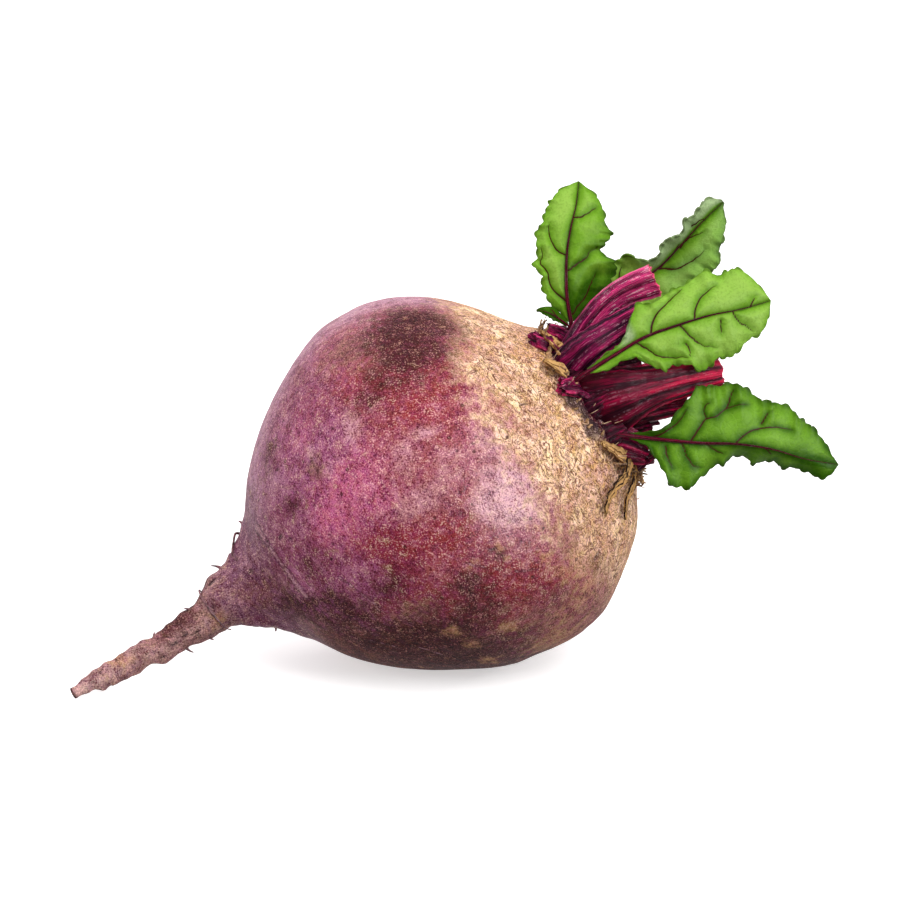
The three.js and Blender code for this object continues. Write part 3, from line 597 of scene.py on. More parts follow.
def root_point(along, angle, distance):
    """The point of the root at a place along its axis, an angle round it and a distance off it."""
    bulb = sum(height * np.cos(count * angle + start) for count, height, start in BULB_LOBES)
    tail = TAIL_SWELL * np.sin(TAIL_SWELL_TURN * along + 2 * np.cos(angle))
    lobes = mix(tail, bulb, smooth(along, NECK - 14, NECK - 2))
    lower = smooth(-np.cos(angle), 0.2, 1)
    belly = UNDERSIDE_SHAVE * np.exp(-((along - SHAVE_MIDDLE) / SHAVE_REACH) ** 2)
    low_rim = lower * smooth(along, 28, 36)
    radius = distance * (1 + lobes - lower * belly - LOW_RIM_SHAVE * low_rim)
    shoulder = SHOULDER_LIFT * smooth(along, 30, 38) - SHOULDER_SAG * smooth(along, 0, 24)
    shoulder = shoulder + NECK_RISE * np.exp(-((along - NECK_RISE_AT) / NECK_RISE_REACH) ** 2)
    slant = RIM_SLANT[0] * np.cos(angle) + RIM_SLANT[1] * np.sin(angle)
    skew = -radius * slant * smooth(along, 20, 36) - LOW_RIM_BACK * low_rim
    out = np.maximum(0, (NECK - along) / (NECK - TAIL_END))
    point = (np.array([0, 0, BULB_HEIGHT]) + (along + skew)[:, None] * AXIS
             + (radius * np.cos(angle) + shoulder)[:, None] * UPPER
             + (radius * np.sin(angle))[:, None] * NEAR + TAIL_BEND * out[:, None] ** TAIL_BEND_POWER)
    span = SETTLE_FROM - SETTLE_FLAT
    low = np.clip(point[:, 2], SETTLE_FLAT, SETTLE_FROM)
    settled = SETTLE_FROM * ((low - SETTLE_FLAT) / span) ** (span / SETTLE_FROM)
    point[:, 2] = np.where((along > NECK) & (point[:, 2] < SETTLE_FROM), settled, point[:, 2])
    return point


def skin_radius(along):
    places, radii = np.array(ROOT_PROFILE).T
    return np.interp(along, places, radii)


def skin_point(along, degrees, lift=0.0):
    """One point, lift millimetres off the skin."""
    along = np.atleast_1d(np.asarray(along, float))
    angle = np.radians(np.atleast_1d(np.asarray(degrees, float)))
    return root_point(along, angle, skin_radius(along) + lift)


def outward(along, degrees):
    """The way straight out of the skin at a place."""
    return unit(skin_point(along, degrees, lift=3)[0] - skin_point(along, degrees)[0])


def turned_from(angle, degrees):
    """How far an angle is from a bearing, from -pi to pi."""
    return (angle - math.radians(degrees) + np.pi) % (2 * np.pi) - np.pi


def nearness(along, angle, radius, spot):
    """How near each point is to a spot on the skin: 1 at its middle, and 0.6 at its reach."""
    place, degrees, reach, width = spot[:4]
    turn = turned_from(angle, degrees)
    return np.exp(-0.5 * (((along - place) / reach) ** 2 + (turn * radius / width) ** 2))


def skin_relief(along, angle, radius, slow, lumps, swirl):
    """How far the skin rises off the plain form, and how much of a nick or a scar it is there."""
    bulb = smooth(along, NECK - 4, NECK + 14) * (1 - smooth(along, 33, 36))
    tail = 1 - smooth(along, NECK - 8, NECK)
    rises = (0.16 * slow + 0.1 * lumps) * bulb + 0.22 * lumps * tail
    ringed = 0.1 * smooth(along, NECK + 6, NECK - 4) + 0.05 * smooth(along, 22, 34)
    rings = np.sin(2.1 * along + 2.2 * swirl)
    neck_ridges = np.sin(8 * angle + 1.5 * slow) * np.exp(-((along + 41) / 7) ** 2)
    crown_folds = smooth(along, 35.2, 37) * (0.7 * np.sin(17 * angle + 2 * slow) + 0.9 * lumps)
    rises = rises + ringed * rings + 0.28 * neck_ridges + crown_folds
    nick = np.zeros_like(along)
    for place, turn, length, width in NICKS:
        shade = nearness(along, angle, radius, [place, turn, 0.5 * length, 0.5 * width])
        nick = np.maximum(nick, smooth(shade + 0.25 * lumps, 0.25, 0.6))
        rises = rises - 0.35 * shade
    for place, turn, width, height in KNOBS:
        rises = rises + height * nearness(along, angle, radius, [place, turn, 0.35 * width, 0.32 * width])
    scar = np.zeros_like(along)
    for from_along, from_turn, to_along, to_turn, width in SCARS:
        for step in np.linspace(0, 1, 34):
            place, turn = mix(from_along, to_along, step), mix(from_turn, to_turn, step)
            scar = np.maximum(scar, nearness(along, angle, radius, [place, turn, 0.5 * width, 0.4 * width]))
    return rises + 0.12 * scar, nick, scar


def skin_marks(along, angle, radius, slow, lumps, drift):
    """How much of each kind of colour there is at each place on the skin, from 0 to 1."""
    marks = {}
    wandered = along + 0.8 * slow + 1.2 * lumps
    turned = angle + 1.2 * drift / np.maximum(radius, 6)
    for kind, spots in FIELDS.items():
        bare = np.ones_like(along)
        for spot in spots:
            bare = bare * (1 - spot[4] * nearness(wandered, turned, radius, spot))
        marks[kind] = 1 - bare
    belt = along + 3 * slow + 1.5 * lumps
    under = np.degrees(np.abs(turned_from(angle, LOW_SIDE))) + 8 * slow + 5 * lumps
    marks["warm"] = smooth(belt, -14, 5)
    marks["neck"] = smooth(along + 3 * slow + lumps, NECK + 12, NECK - 3)
    marks["tail"] = smooth(along + 2 * lumps, NECK - 5, NECK - 22)
    # The low mark: worn skin, and painted shade on the side that faces down.
    marks["low"] = (smooth(under, 62, 26) * smooth(along, NECK - 2, NECK + 6)
                    * (1 - 0.85 * smooth(belt, -10, 6)))
    marks["mottled"] = smooth(under, 54, 28) * smooth(belt, -8, 6) * (1 - smooth(along, 32, 36))
    marks["cork"] = smooth(along + 2 * slow + 2.5 * lumps, 11, 27) * (1 - smooth(along, 35.4, 36.4))
    marks["collar"] = smooth(along + 2 * slow, 25, 33)
    marks["crown"] = smooth(along + 0.5 * lumps, CROWN_RIM, CROWN_RIM + 1)
    return marks


def root_piece():
    """The root's skin from tail to crown, closed at both ends."""

    def place(u, v):
        t = np.clip((v - TAIL_FACE) / (CROWN_FACE - TAIL_FACE), 0, 1)
        along, radius = glide(ROOT_PROFILE, t).T
        face = np.clip(v / TAIL_FACE, 0, 1)
        peak = np.clip((1 - v) / (1 - CROWN_FACE), 0, 1)
        radius = radius * face * peak
        along = along + 0.5 * (1 - face) + 0.3 * (1 - peak)
        angle = 2 * np.pi * (u % 1)
        spots = root_point(along, angle, radius)
        slow, lumps = grain(spots, 17, 1), grain(spots, 4.5, 2, 3)
        rises, nick, scar = skin_relief(along, angle, radius, slow, lumps, grain(spots, 9, 3))
        marks = skin_marks(along, angle, radius, slow, lumps, grain(spots, 5, 5))
        marks["scar"] = np.clip(scar + 0.35 * lumps * (scar > 0.02), 0, 1)
        # The tail's broken end is dark, and the gap under the crown's near side is painted dark as shade.
        end = (1 - face) * smooth(radius, 0.2, 0.9) + np.exp(-((along - TAIL_END) / 0.5) ** 2)
        marks["dark"] = np.maximum(marks["dark"], np.clip(end, 0, 1))
        gap = smooth(along + 1.2 * lumps, 34.1, 34.8) * smooth(np.abs(np.degrees(angle) - 76), 28, 14)
        marks["nick"] = np.maximum(nick, gap * (1 - smooth(along, 35.6, 36.4)))
        points = root_point(along, angle, np.maximum(radius + rises * np.minimum(face, peak), 0))
        points[:, 2] = np.maximum(points[:, 2], 0)
        return points, marks

    bm = bmesh.new()
    sheet(bm, *SKIN_GRID, place)
    piece("root_skin", bm, [skin_material()], ["root"])


# ---- stalks -------------------------------------------------------------------------------

STALK_GRID = (96, 72)
STALK_CURL = 0.12  # how far the edges curl forward, as a share of the width
STALK_FOOT, STALK_CUT = 0.02, 0.9  # the foot face and the cut face take the grid's ends
# The sizes are the CAD stalks'. Groove is the way the channel faces, glow is how bright the flesh is from
# foot to end: low at the foot as painted shade among the crowded stalks, high towards the end as painted
# light. Tint goes from red at 0 to purple at 1.
STALKS = {
    "stalk_long": {
        "line": [[25, -2, 61.3], [29.6, -4, 70.6], [35, -5, 76], [42.2, -5.5, 79.2]],
        "width": [7, 5.4, 6.2, 7.8], "depth": [4.4, 4, 4, 4.6], "groove": [0.2, -0.8, -0.5], "ribs": 5,
        "glow": [0, 1], "tint": 1, "slot": "stalk",
    },
    "stalk_dark": {
        "line": [[24, -7, 58.3], [28.7, -11.6, 65], [34.1, -11.6, 69], [40.2, -10.5, 72.7]],
        "width": [11, 8.4, 7, 6], "depth": [4.6, 4.2, 3.8, 3.4], "groove": [0, 1, 0.2], "ribs": 9,
        "glow": [0, 0.2], "tint": 0.8, "slot": "dark_stalk",
    },
    "stalk_middle": {
        "line": [[27.5, -8, 55.8], [34.2, -11.5, 60.8], [39.5, -11, 62.6]], "width": [9, 6.4, 5.2],
        "depth": [4.4, 4, 3.4], "groove": [0, 1, -0.2], "ribs": 8, "glow": [-0.35, 0.2], "tint": 0.2,
        "slot": "stalk",
    },
    "stalk_wide": {
        "line": [
            [27, -10, 52.8], [33.5, -14.4, 56.2], [41.2, -14, 58.8], [48.4, -13, 60.4], [55.1, -12, 61.6],
        ],
        "width": [18, 14, 8.6, 7, 5.4], "depth": [5.6, 5, 4.6, 4.2, 3.6], "groove": [0, 1, 0], "ribs": 9,
        "glow": [-0.4, 0.75], "tint": 0.05, "slot": "stalk",
    },
    "stalk_under": {
        "line": [[31, -7, 49.8], [38.2, -10.5, 53], [43.5, -10.8, 54.2], [48.6, -10.4, 54.9]],
        "width": [9, 6, 5, 4.4], "depth": [4.4, 4.2, 4, 3.4], "groove": [0, 1, 0.2], "ribs": 8,
        "glow": [-0.5, 0.3], "tint": 0.1, "slot": "dark_stalk",
    },
    "stalk_short": {
        "line": [[31, -9, 46.3], [35.7, -13.4, 46.9], [40.4, -13.2, 45.4]], "width": [12, 9, 5],
        "depth": [4.6, 4.2, 3.4], "groove": [-0.1, 1, 0.3], "ribs": 10, "glow": [-0.3, 0.4], "tint": 0.3,
        "slot": "stalk",
    },
    "stalk_far_upper": {
        "line": [[27, 6, 56.8], [32.6, 10.8, 62.8], [38.4, 12.6, 65.8]], "width": [10, 7, 5.4],
        "depth": [4.4, 4, 3.4], "groove": [0.2, -1, 0], "ribs": 8, "glow": [0, 0.4], "tint": 0.5,
        "slot": "dark_stalk",
    },
    "stalk_far_lower": {
        "line": [[29.5, 7, 49.8], [37, 12.4, 52.8], [45, 14, 56.2]], "width": [13, 8.6, 6],
        "depth": [4.8, 4.2, 3.6], "groove": [0.2, -1, 0], "ribs": 10, "glow": [0, 0.6], "tint": 0.2,
        "slot": "stalk",
    },
    "stalk_far_short": {
        "line": [[32.5, 5, 45.3], [37.4, 9.2, 44.4], [41.4, 10, 43.6]], "width": [10, 7.4, 5],
        "depth": [4.2, 3.8, 3.2], "groove": [0, -1, 0.3], "ribs": 8, "glow": [0, 0.3], "tint": 0.4,
        "slot": "dark_stalk",
    },
    "old_stub_top": {
        "line": [[28, 1, 62.3], [24.9, 0.4, 66.4], [21.2, 0.6, 68]], "width": [7, 6, 4],
        "depth": [4, 3.8, 3], "groove": [1, 0, 0.6], "ribs": 5, "glow": [-0.1, 0.1], "tint": 0.7,
        "slot": "dark_stalk", "crumple": 1,
    },
    "old_stub_edge": {
        "line": [[25.5, -5.4, 61.8], [21.4, -7, 65.8], [18.4, -7.6, 67.4]], "width": [6, 5.2, 4],
        "depth": [3.8, 3.4, 2.8], "groove": [1, 0, 0.6], "ribs": 5, "glow": [-0.1, 0.1], "tint": 0.8,
        "slot": "dark_stalk", "crumple": 1,
    },
    "old_stub_side": {
        "line": [[28, -12, 57.4], [25.2, -16.4, 59.4], [23.3, -18.4, 59.6]], "width": [6, 4.8, 3.4],
        "depth": [3.4, 3, 2.4], "groove": [1, 0.4, 0.4], "ribs": 5, "glow": [-0.1, 0.35], "tint": 0.6,
        "slot": "stalk", "crumple": 1,
    },
    "old_stub_far": {
        "line": [[26.5, 7, 58.8], [23.6, 12, 62.4], [21.4, 14.6, 63.8]], "width": [7, 6, 4.4],
        "depth": [3.6, 3.4, 2.8], "groove": [1, -0.4, 0.4], "ribs": 5, "glow": [0, 0.3], "tint": 0.6,
        "slot": "dark_stalk", "crumple": 1,
    },
}


def stalk_piece(name, stalk, material):
    """A ribbed stalk with a channel down its front, torn off or crumpled dry at the end."""
    line, groove = stalk["line"], np.array(stalk["groove"], float)
    crumple = stalk.get("crumple", 0)
    seed = sum(map(ord, name)) % 97

    def place(u, v):
        t = np.clip((v - STALK_FOOT) / (STALK_CUT - STALK_FOOT), 0, 1)
        lip = np.clip((1 - v) / (1 - STALK_CUT), 0, 1)
        inner = np.clip(v / STALK_FOOT, 0, 1) * lip
        ahead = heading(line, t)
        side = unit(np.cross(ahead, groove))
        front = np.cross(side, ahead)
        angle = 2 * np.pi * u
        channel = 1 - 0.42 * np.exp(-((turned_from(angle, 90) / 0.6) ** 2))
        rib = 0.5 + 0.5 * np.cos(stalk["ribs"] * angle + 1.3 * np.sin(2 * angle + seed))
        raised = inner * (1 + 0.1 * (rib - 0.5) * inner)
        width, depth = glide(stalk["width"], t), glide(stalk["depth"], t)
        x = np.cos(angle) * width / 2 * raised
        y = (np.sin(angle) * depth / 2 * raised * channel
             + STALK_CURL * width * (np.cos(angle) * inner) ** 2)
        across = side * x[:, None] + front * y[:, None]
        points = glide(line, t) + across
        cut = v > STALK_CUT
        torn = grain(np.stack([x, y, np.full_like(x, seed)], 1), 1.3, seed, 3) * smooth(t, 0.8, 1)
        points = points + ahead * ((0.55 + crumple) * torn - 1.1 * (1 - lip) ** 0.6 * cut)[:, None]
        lumps = grain(points, 1.6 + 0.4 * crumple, seed, 3)
        points = points + across * (lumps * (0.05 + 0.24 * crumple))[:, None]
        return points, {
            "rib": np.clip(rib + 0.2 * lumps, 0, 1), "glow": mix(*stalk["glow"], t),
            "tint": np.full_like(u, stalk["tint"]), "cut": smooth(1 - lip, 0.25, 0.6) * cut,
            "lip": np.exp(-(((v - STALK_CUT) / 0.018) ** 2)) * 0.75,
        }

    bm = bmesh.new()
    sheet(bm, *STALK_GRID, place)
    piece(f"{name}_flesh", bm, [material], [name])


# ---- leaves -------------------------------------------------------------------------------

LEAF_UV = 50.0  # the leaf's UV map is in units of this many millimetres
NET_MESH = 1.3  # the finest veins' spacing
WIDE_TEETH, FINE_TEETH = 3.3, 1.7  # the teeth's spacing along the midrib
LEAF_LEAN = math.radians(13)
LEAF_UP = np.array([0, math.sin(LEAF_LEAN), math.cos(LEAF_LEAN)])
LEAF_OUT = np.array([0, -math.cos(LEAF_LEAN), math.sin(LEAF_LEAN)])
BLADE = 0.4  # the blade's thickness
SINK = 0.45  # the blade lies this far under the CAD leaf's surface before it puffs up
RIB_SINK = 0.2  # the same for the middle of the midrib
THINNEST_VEIN = 0.13
SMALL_LEAF = 12  # a shorter leaf has a coarser grid and a thinner midrib
LEAF_GRID, SMALL_LEAF_GRID, RIB_GRID = (172, 114), (30, 30), (20, 90)
RIB_FOOT = 0.24  # the stalk below the blade takes this share of the rib
# The rib's half-widths from foot to tip.
RIB_SIZES = [0.8, 0.56, 0.42, 0.32, 0.24, 0.16, 0.09, 0.04]
# The sizes are the CAD leaves'. Left and right are half-widths from foot to tip. Tone is [left, right] from
# foot to tip, light to dark: the leaf's own tone, and painted shade on the leaves and sides that lie in
# shade. Grey is the underside's dull green showing: [left, right, from, to]. A vein is its thickness and
# its stops, each [how far along the midrib, how far out to the left or, below 0, to the right].
LEAVES = {
    "leaf_upright": {
        "base": [26.1, 0, 69.5], "foot": [26, -0.6, 61.8],
        "midrib": [
            [0, 0, 0], [-0.8, 4.7, 0.8], [-1, 9.4, 1.3], [-0.8, 14.2, 1.3], [0, 18.9, 0.7],
            [1.1, 23.5, -0.6], [1.7, 28.3, -2.6],
        ],
        "left": [
            0.6, 1.3, 2.3, 3.4, 4.4, 4.7, 4.9, 5.2, 6.7, 5.7, 6, 6.5, 6.4, 5.9, 5.6, 5.7, 5.3, 4.8, 4,
            1.9, 0,
        ],
        "right": [
            0.8, 2.5, 4.5, 6.2, 7.4, 8.6, 9.4, 9.9, 10.2, 9.6, 7.6, 6.8, 7.3, 8.3, 8, 6.6, 5.9, 5.1, 3.8,
            1.5, 0,
        ],
        "fold_left": [0, -1, -1.6, -1.8, -1.4, -0.8, 0],
        "fold_right": [-2, -4.5, -5, -2.4, -1.2, -0.6, 0], "ruffle": 0.6, "waves": 6,
        "tone": [[0.6, 1.4], [0.25, 0.8], [0.15, 0.3]], "grey": [0, 0, 0.3, 1.1],
        "veins": [
            [0.2, [0.14, 0.05], [0.2, 0.44], [0.27, 0.68], [0.37, 0.72], [0.44, 0.83], [0.5, 0.88]],
            [0.16, [0.46, 0], [0.49, 0.34], [0.54, 0.5], [0.6, 0.64], [0.65, 0.74]],
            [0.17, [0.35, 0], [0.41, -0.24], [0.48, -0.52], [0.56, -0.86]],
            [0.13, [0.73, 0], [0.76, -0.27], [0.8, -0.48], [0.83, -0.74]],
            [0.1, [0.06, -0.19], [0.14, -0.56], [0.26, -0.57], [0.35, -0.61]],
        ],
    },
    "leaf_back": {
        "base": [33.5, 10, 67], "foot": [28, 5, 58.8],
        "midrib": [
            [0, 0, 0], [3.7, 4.6, -0.8], [7.5, 8.9, -1.4], [12, 12.6, -1.2], [16, 16.9, -0.4],
            [20, 21.2, 0.2], [24.2, 25.2, -0.6],
        ],
        "left": [
            0.6, 2.5, 4.4, 6.3, 6.8, 7.1, 6.7, 5.9, 3.1, 1.8, 1.8, 2.6, 2.7, 1.6, 1.6, 2.7, 2, 2.3, 2.7,
            2, 0,
        ],
        "right": [
            0.6, 2.4, 4, 5.3, 6.1, 6.7, 7.2, 7.5, 7.5, 7.4, 6.9, 6.8, 7.4, 8.1, 8.3, 6.8, 5.8, 5, 3.8,
            1.2, 0,
        ],
        "fold_left": [0, 1, 3.5, 6, 5.5, 4, 0], "fold_right": [0, 1, 1.6, 2, 2.2, 1.5, 0], "ruffle": 0.9,
        "waves": 8, "tone": [[-0.4, 0.3], [0.2, 0.5], [0.4, 0.6]], "grey": [0.75, 0.15, 0.35, 1.1],
        "veins": [
            [0.2, [0.46, 0], [0.51, -0.28], [0.56, -0.46], [0.64, -0.52], [0.71, -0.51]],
            [0.1, [0.63, -0.03], [0.71, -0.04], [0.78, -0.26]],
            [0.14, [0.25, 0.49], [0.28, 0.64], [0.31, 0.75]],
            [0.12, [0.46, -0.03], [0.57, 0.03], [0.64, 0.18]],
            [0.1, [0.76, 0.35], [0.81, 0.33], [0.85, -0.06]],
        ],
    },
    "leaf_middle": {
        "base": [28.9, -16, 62.6], "foot": [24.5, -9, 56.3],
        "midrib": [
            [0, 0, 0], [5.4, 3.4, 1], [10.9, 6.6, 1.6], [17, 8.8, 1.8], [23.1, 10.7, 1.2], [29.4, 12, 0],
            [35.5, 13.8, -2],
        ],
        "left": [
            0.5, 0.7, 1, 1.1, 1.3, 2.2, 4, 6.4, 5.7, 5.9, 6.6, 6.9, 7.1, 7.9, 8.7, 7.4, 7.8, 8, 7, 3.6, 0,
        ],
        "right": [
            0.5, 1.2, 1.7, 1.7, 2, 3, 6, 7.4, 7.1, 7.2, 8.2, 9.8, 9.5, 8.5, 8.4, 8.7, 7.2, 5.9, 5.4, 2.9,
            0,
        ],
        "fold_left": [0, 0.6, 0, -1, -1.6, -1.2, 0], "fold_right": [0, 0.6, 0, -1.2, -2, -1.4, 0],
        "ruffle": 0.6, "waves": 7, "tone": [[0.4, 0.3], [0.15, 0.2], [0.15, 0.15]],
        "grey": [0.8, 0, 0.17, 0.31],
        "veins": [
            [0.22, [0.36, 0], [0.39, 0.36], [0.43, 0.63], [0.48, 0.72], [0.53, 0.8], [0.58, 0.92]],
            [0.2, [0.59, 0], [0.61, 0.26], [0.65, 0.47], [0.69, 0.53], [0.73, 0.68]],
            [0.18, [0.51, 0], [0.54, -0.27], [0.57, -0.43], [0.62, -0.63], [0.67, -0.76]],
            [0.18, [0.27, 0], [0.32, -0.44], [0.36, -0.62], [0.43, -0.81], [0.5, -0.8]],
            [0.12, [0.79, 0], [0.81, -0.31], [0.84, -0.57], [0.86, -0.8]],
            [0.08, [0.51, -0.45], [0.52, -0.57], [0.51, -0.77]], [0.08, [0.72, -0.17], [0.71, -0.47]],
            [0.09, [0.88, 0], [0.91, 0.21]],
        ],
    },
    "leaf_low": {
        "base": [36.9, -17, 50], "foot": [30, -8, 47.8],
        "midrib": [
            [0, 0, 0], [6.9, -0.8, 0.8], [13.8, -1.4, 1.2], [20.8, -1.6, 1], [27.7, -2.6, 0.2],
            [34.4, -4.5, -1.4], [41.2, -5.6, -3.4],
        ],
        "left": [
            0.6, 0.9, 1.2, 2, 5, 8, 10.8, 10.9, 11.1, 11.6, 11.4, 10, 8.9, 9.1, 8.7, 7.3, 6.9, 6, 4.2,
            1.6, 0,
        ],
        "right": [
            0.6, 0.9, 1.7, 4.6, 8, 8.9, 8.7, 6.4, 4.5, 4, 2.5, 2.2, 3.4, 2.7, 2.1, 2.8, 2.2, 2.3, 3, 2.6,
            0,
        ],
        "fold_left": [0, 1, 0.4, -0.6, -1, -0.6, 0], "fold_right": [0, 0.5, -1.5, -5, -5.5, -3.5, 0],
        "ruffle": 0.8, "waves": 8, "puff": 0.4, "tone": [[1.1, 1], [0.75, 0.8], [1, 1.1]],
        "grey": [0, 0, 0.3, 1.1],
        "veins": [
            [0.2, [0.11, 0.2], [0.15, 0.6], [0.2, 0.58], [0.23, 0.65], [0.25, 0.79]],
            [
                0.2, [0.28, 0], [0.32, 0.26], [0.35, 0.43], [0.4, 0.47], [0.44, 0.57], [0.48, 0.64],
                [0.53, 0.74],
            ],
            [0.1, [0.35, 0.44], [0.34, 0.58], [0.35, 0.69], [0.37, 0.72]],
            [0.08, [0.45, 0.6], [0.46, 0.73], [0.47, 0.89]],
            [0.17, [0.49, 0], [0.53, 0.18], [0.57, 0.33], [0.63, 0.45], [0.69, 0.5], [0.73, 0.59]],
            [0.17, [0.24, 0], [0.27, -0.27], [0.3, -0.49], [0.34, -0.68]],
            [0.13, [0.36, 0], [0.4, -0.31], [0.44, -0.49]],
            [0.12, [0.17, -0.2], [0.18, -0.45], [0.21, -0.63]], [0.1, [0.63, 0], [0.67, -0.38]],
            [0.07, [0.6, 0.51], [0.62, 0.78]],
        ],
    },
    "leaf_bud": {
        "base": [25.4, -1.2, 69], "foot": [26.4, -1.6, 63.8],
        "midrib": [[0, 0, 0], [-1.6, 1.2, 0.3], [-3.2, 2.2, 0.2], [-4.8, 2.8, -0.2], [-6.2, 3.2, -0.6]],
        "left": [0.4, 0.6, 0.8, 0.8, 0.7, 0.4, 0], "right": [0.4, 0.8, 1.1, 1.4, 1.2, 0.7, 0],
        "fold_left": [0, 0, 0], "fold_right": [-0.4, -0.8, 0], "ruffle": 0.2, "waves": 2, "puff": 0,
        "tone": [[0.9, 0.9], [0.9, 0.9]], "grey": [0, 0, 0.3, 1.1],
        "veins": [[0.1, [0.3, 0], [0.6, -0.6]]],
    },
}


def midrib_length(leaf):
    steps = np.diff(glide(leaf["midrib"], np.linspace(0, 1, 60)), axis=0)
    return float(np.linalg.norm(steps, axis=1).sum())


def line_distance(points, line):
    """Each point's distance from a line of points, and how far along the line that is."""
    best, where = np.full(len(points), 1e9), np.zeros(len(points))
    for i, (a, b) in enumerate(zip(line[:-1], line[1:])):
        span = b - a
        t = np.clip(((points - a) @ span) / max(span @ span, 1e-9), 0, 1)
        gap = np.linalg.norm(points - (a + t[:, None] * span), axis=1)
        nearer = gap < best
        best[nearer], where[nearer] = gap[nearer], ((i + t) / (len(line) - 1))[nearer]
    return best, where


def leaf_surface(leaf, u, v, lift):
    """Points of the blade at u along its midrib and v from -1, the right edge, to 1, the left."""
    middle = glide(leaf["midrib"], u)
    ahead = unit((glide(leaf["midrib"], u + 0.01) - glide(leaf["midrib"], u - 0.01))[:, :2])
    s = u * midrib_length(leaf)
    left = v > 0
    width = np.where(left, glide(leaf["left"], u), glide(leaf["right"], u))
    edge = np.abs(v)
    seed = leaf["base"][0] + 3 * left
    teeth = (0.5 * np.abs(np.sin(np.pi * s / WIDE_TEETH + seed)) ** 1.4
             + 0.5 * np.abs(np.sin(np.pi * s / FINE_TEETH + 2 * seed)) ** 0.8 - 0.5)
    reach = v * width + np.sign(v) * teeth * edge**5 * smooth(width, 0.8, 3)
    fold = np.where(left, glide(leaf["fold_left"], u), glide(leaf["fold_right"], u))
    turns = 2 * np.pi * leaf["waves"] * u
    wave = leaf["ruffle"] * (edge**2 * np.sin(turns + 2 * v)
                             + 0.5 * edge**5 * np.sin(2.6 * turns + 5 * v + seed))
    height = middle[:, 2] + fold * edge**1.5 + wave * np.sin(np.pi * u) + lift
    across = middle[:, 0] - ahead[:, 1] * reach
    up = middle[:, 1] + ahead[:, 0] * reach
    points = (np.array(leaf["base"]) + across[:, None] * np.array([1.0, 0, 0])
              + up[:, None] * LEAF_UP + height[:, None] * LEAF_OUT)
    return points, reach, width


def vein_lines(leaf, length):
    """Each vein's thickness and its line on the flat blade, in millimetres."""
    for thickness, *stops in leaf["veins"]:
        u, v = glide(stops, np.linspace(0, 1, 16)).T
        width = np.where(v > 0, glide(leaf["left"], u), glide(leaf["right"], u))
        yield thickness, np.stack([u * length, v * width], 1)


def leaf_blade(name, leaf, materials):
    length = midrib_length(leaf)
    veins = list(vein_lines(leaf, length))

    def place(u, v):
        v = 2 * v - 1
        _, reach, width = leaf_surface(leaf, u, v, 0)
        flat = np.stack([u * length, reach], 1)
        wander = grain(np.stack([*flat.T, 0 * u], 1), 1.3, len(name))
        nearest = np.abs(reach)
        vein = np.zeros_like(u)
        for thickness, line in veins:
            gap, where = line_distance(flat + 0.16 * wander[:, None], line)
            half = np.maximum(mix(0.85, 0.45, where) * thickness, THINNEST_VEIN)
            vein = np.maximum(vein, np.exp(-((gap / half) ** 2)) * mix(1, 0.45, where**2))
            nearest = np.minimum(nearest, gap + 0.5 * where)
        border = np.maximum(np.abs(width) - np.abs(reach), 0)
        cushion = np.tanh(np.minimum(nearest, 0.6 * border + 0.5) / 1.7)
        puff = leaf.get("puff", 1.0) * (cushion + 0.1 * wander)
        left_grey, right_grey, start, end = leaf["grey"]
        grey = np.where(v > 0, left_grey, right_grey) * smooth(np.abs(v), 0.1, 0.45)
        return leaf_surface(leaf, u, v, puff - SINK)[0], {
            "vein": vein, "near_vein": np.exp(-((nearest / 0.5) ** 2)), "puff": cushion,
            "tone": mix(*glide(leaf["tone"], u).T[::-1], smooth(v, -0.4, 0.4)),
            "margin": np.exp(-((border / 0.22) ** 2)),
            "grey": grey * smooth(u, start, start + 0.1) * smooth(u, end, end - 0.05),
            "uv": np.stack([reach / LEAF_UV + 0.5, u * length / LEAF_UV], 1),
        }

    bm = bmesh.new()
    sheet(bm, *(SMALL_LEAF_GRID if length < SMALL_LEAF else LEAF_GRID), place)
    blade = piece(f"{name}_blade", bm, materials, [name], closed=False)
    thicken(blade, BLADE, -1).material_offset = 1  # the lower face has its own material


def leaf_midrib(name, leaf, material):
    """The leaf's own thin stalk, which runs on along the blade as its midrib."""
    first, second = leaf_surface(leaf, np.array([0.0, 0.012]), np.zeros(2), -RIB_SINK)[0]
    foot = np.array(leaf["foot"], float)
    bend = first - unit(second - first) * np.linalg.norm(first - foot) * 0.5
    spine = unit(np.array(leaf["midrib"][-1][:2], float))
    side = spine[0] * LEAF_UP - spine[1] * np.array([1.0, 0, 0])
    share = 0.5 if midrib_length(leaf) < SMALL_LEAF else 1

    def place(u, v):
        t = np.clip((v - RIB_FOOT) / (1 - RIB_FOOT), 0, 0.985)
        drop = np.clip(v / RIB_FOOT, 0, 1)[:, None]
        below = foot * (1 - drop) ** 2 + bend * 2 * drop * (1 - drop) + first * drop**2
        on_blade = leaf_surface(leaf, t, np.zeros_like(t), -RIB_SINK)[0]
        middle = np.where((v < RIB_FOOT)[:, None], below, on_blade)
        angle = 2 * np.pi * u
        ribs = np.cos(5 * angle)
        size = share * glide(RIB_SIZES, v) * (1 + 0.07 * ribs)
        size = size * np.clip(np.minimum(v, 1 - v) / 0.015, 0, 1) ** 0.5
        points = (middle + side * (size * np.cos(angle))[:, None]
                  + LEAF_OUT * (0.8 * size * np.sin(angle))[:, None])
        return points, {"rib": 0.5 + 0.5 * ribs, "glow": mix(0, -0.3, v)}

    bm = bmesh.new()
    sheet(bm, *RIB_GRID, place)
    piece(f"{name}_midrib", bm, [material])


# ---- dry skin, fibres and rootlets --------------------------------------------------------

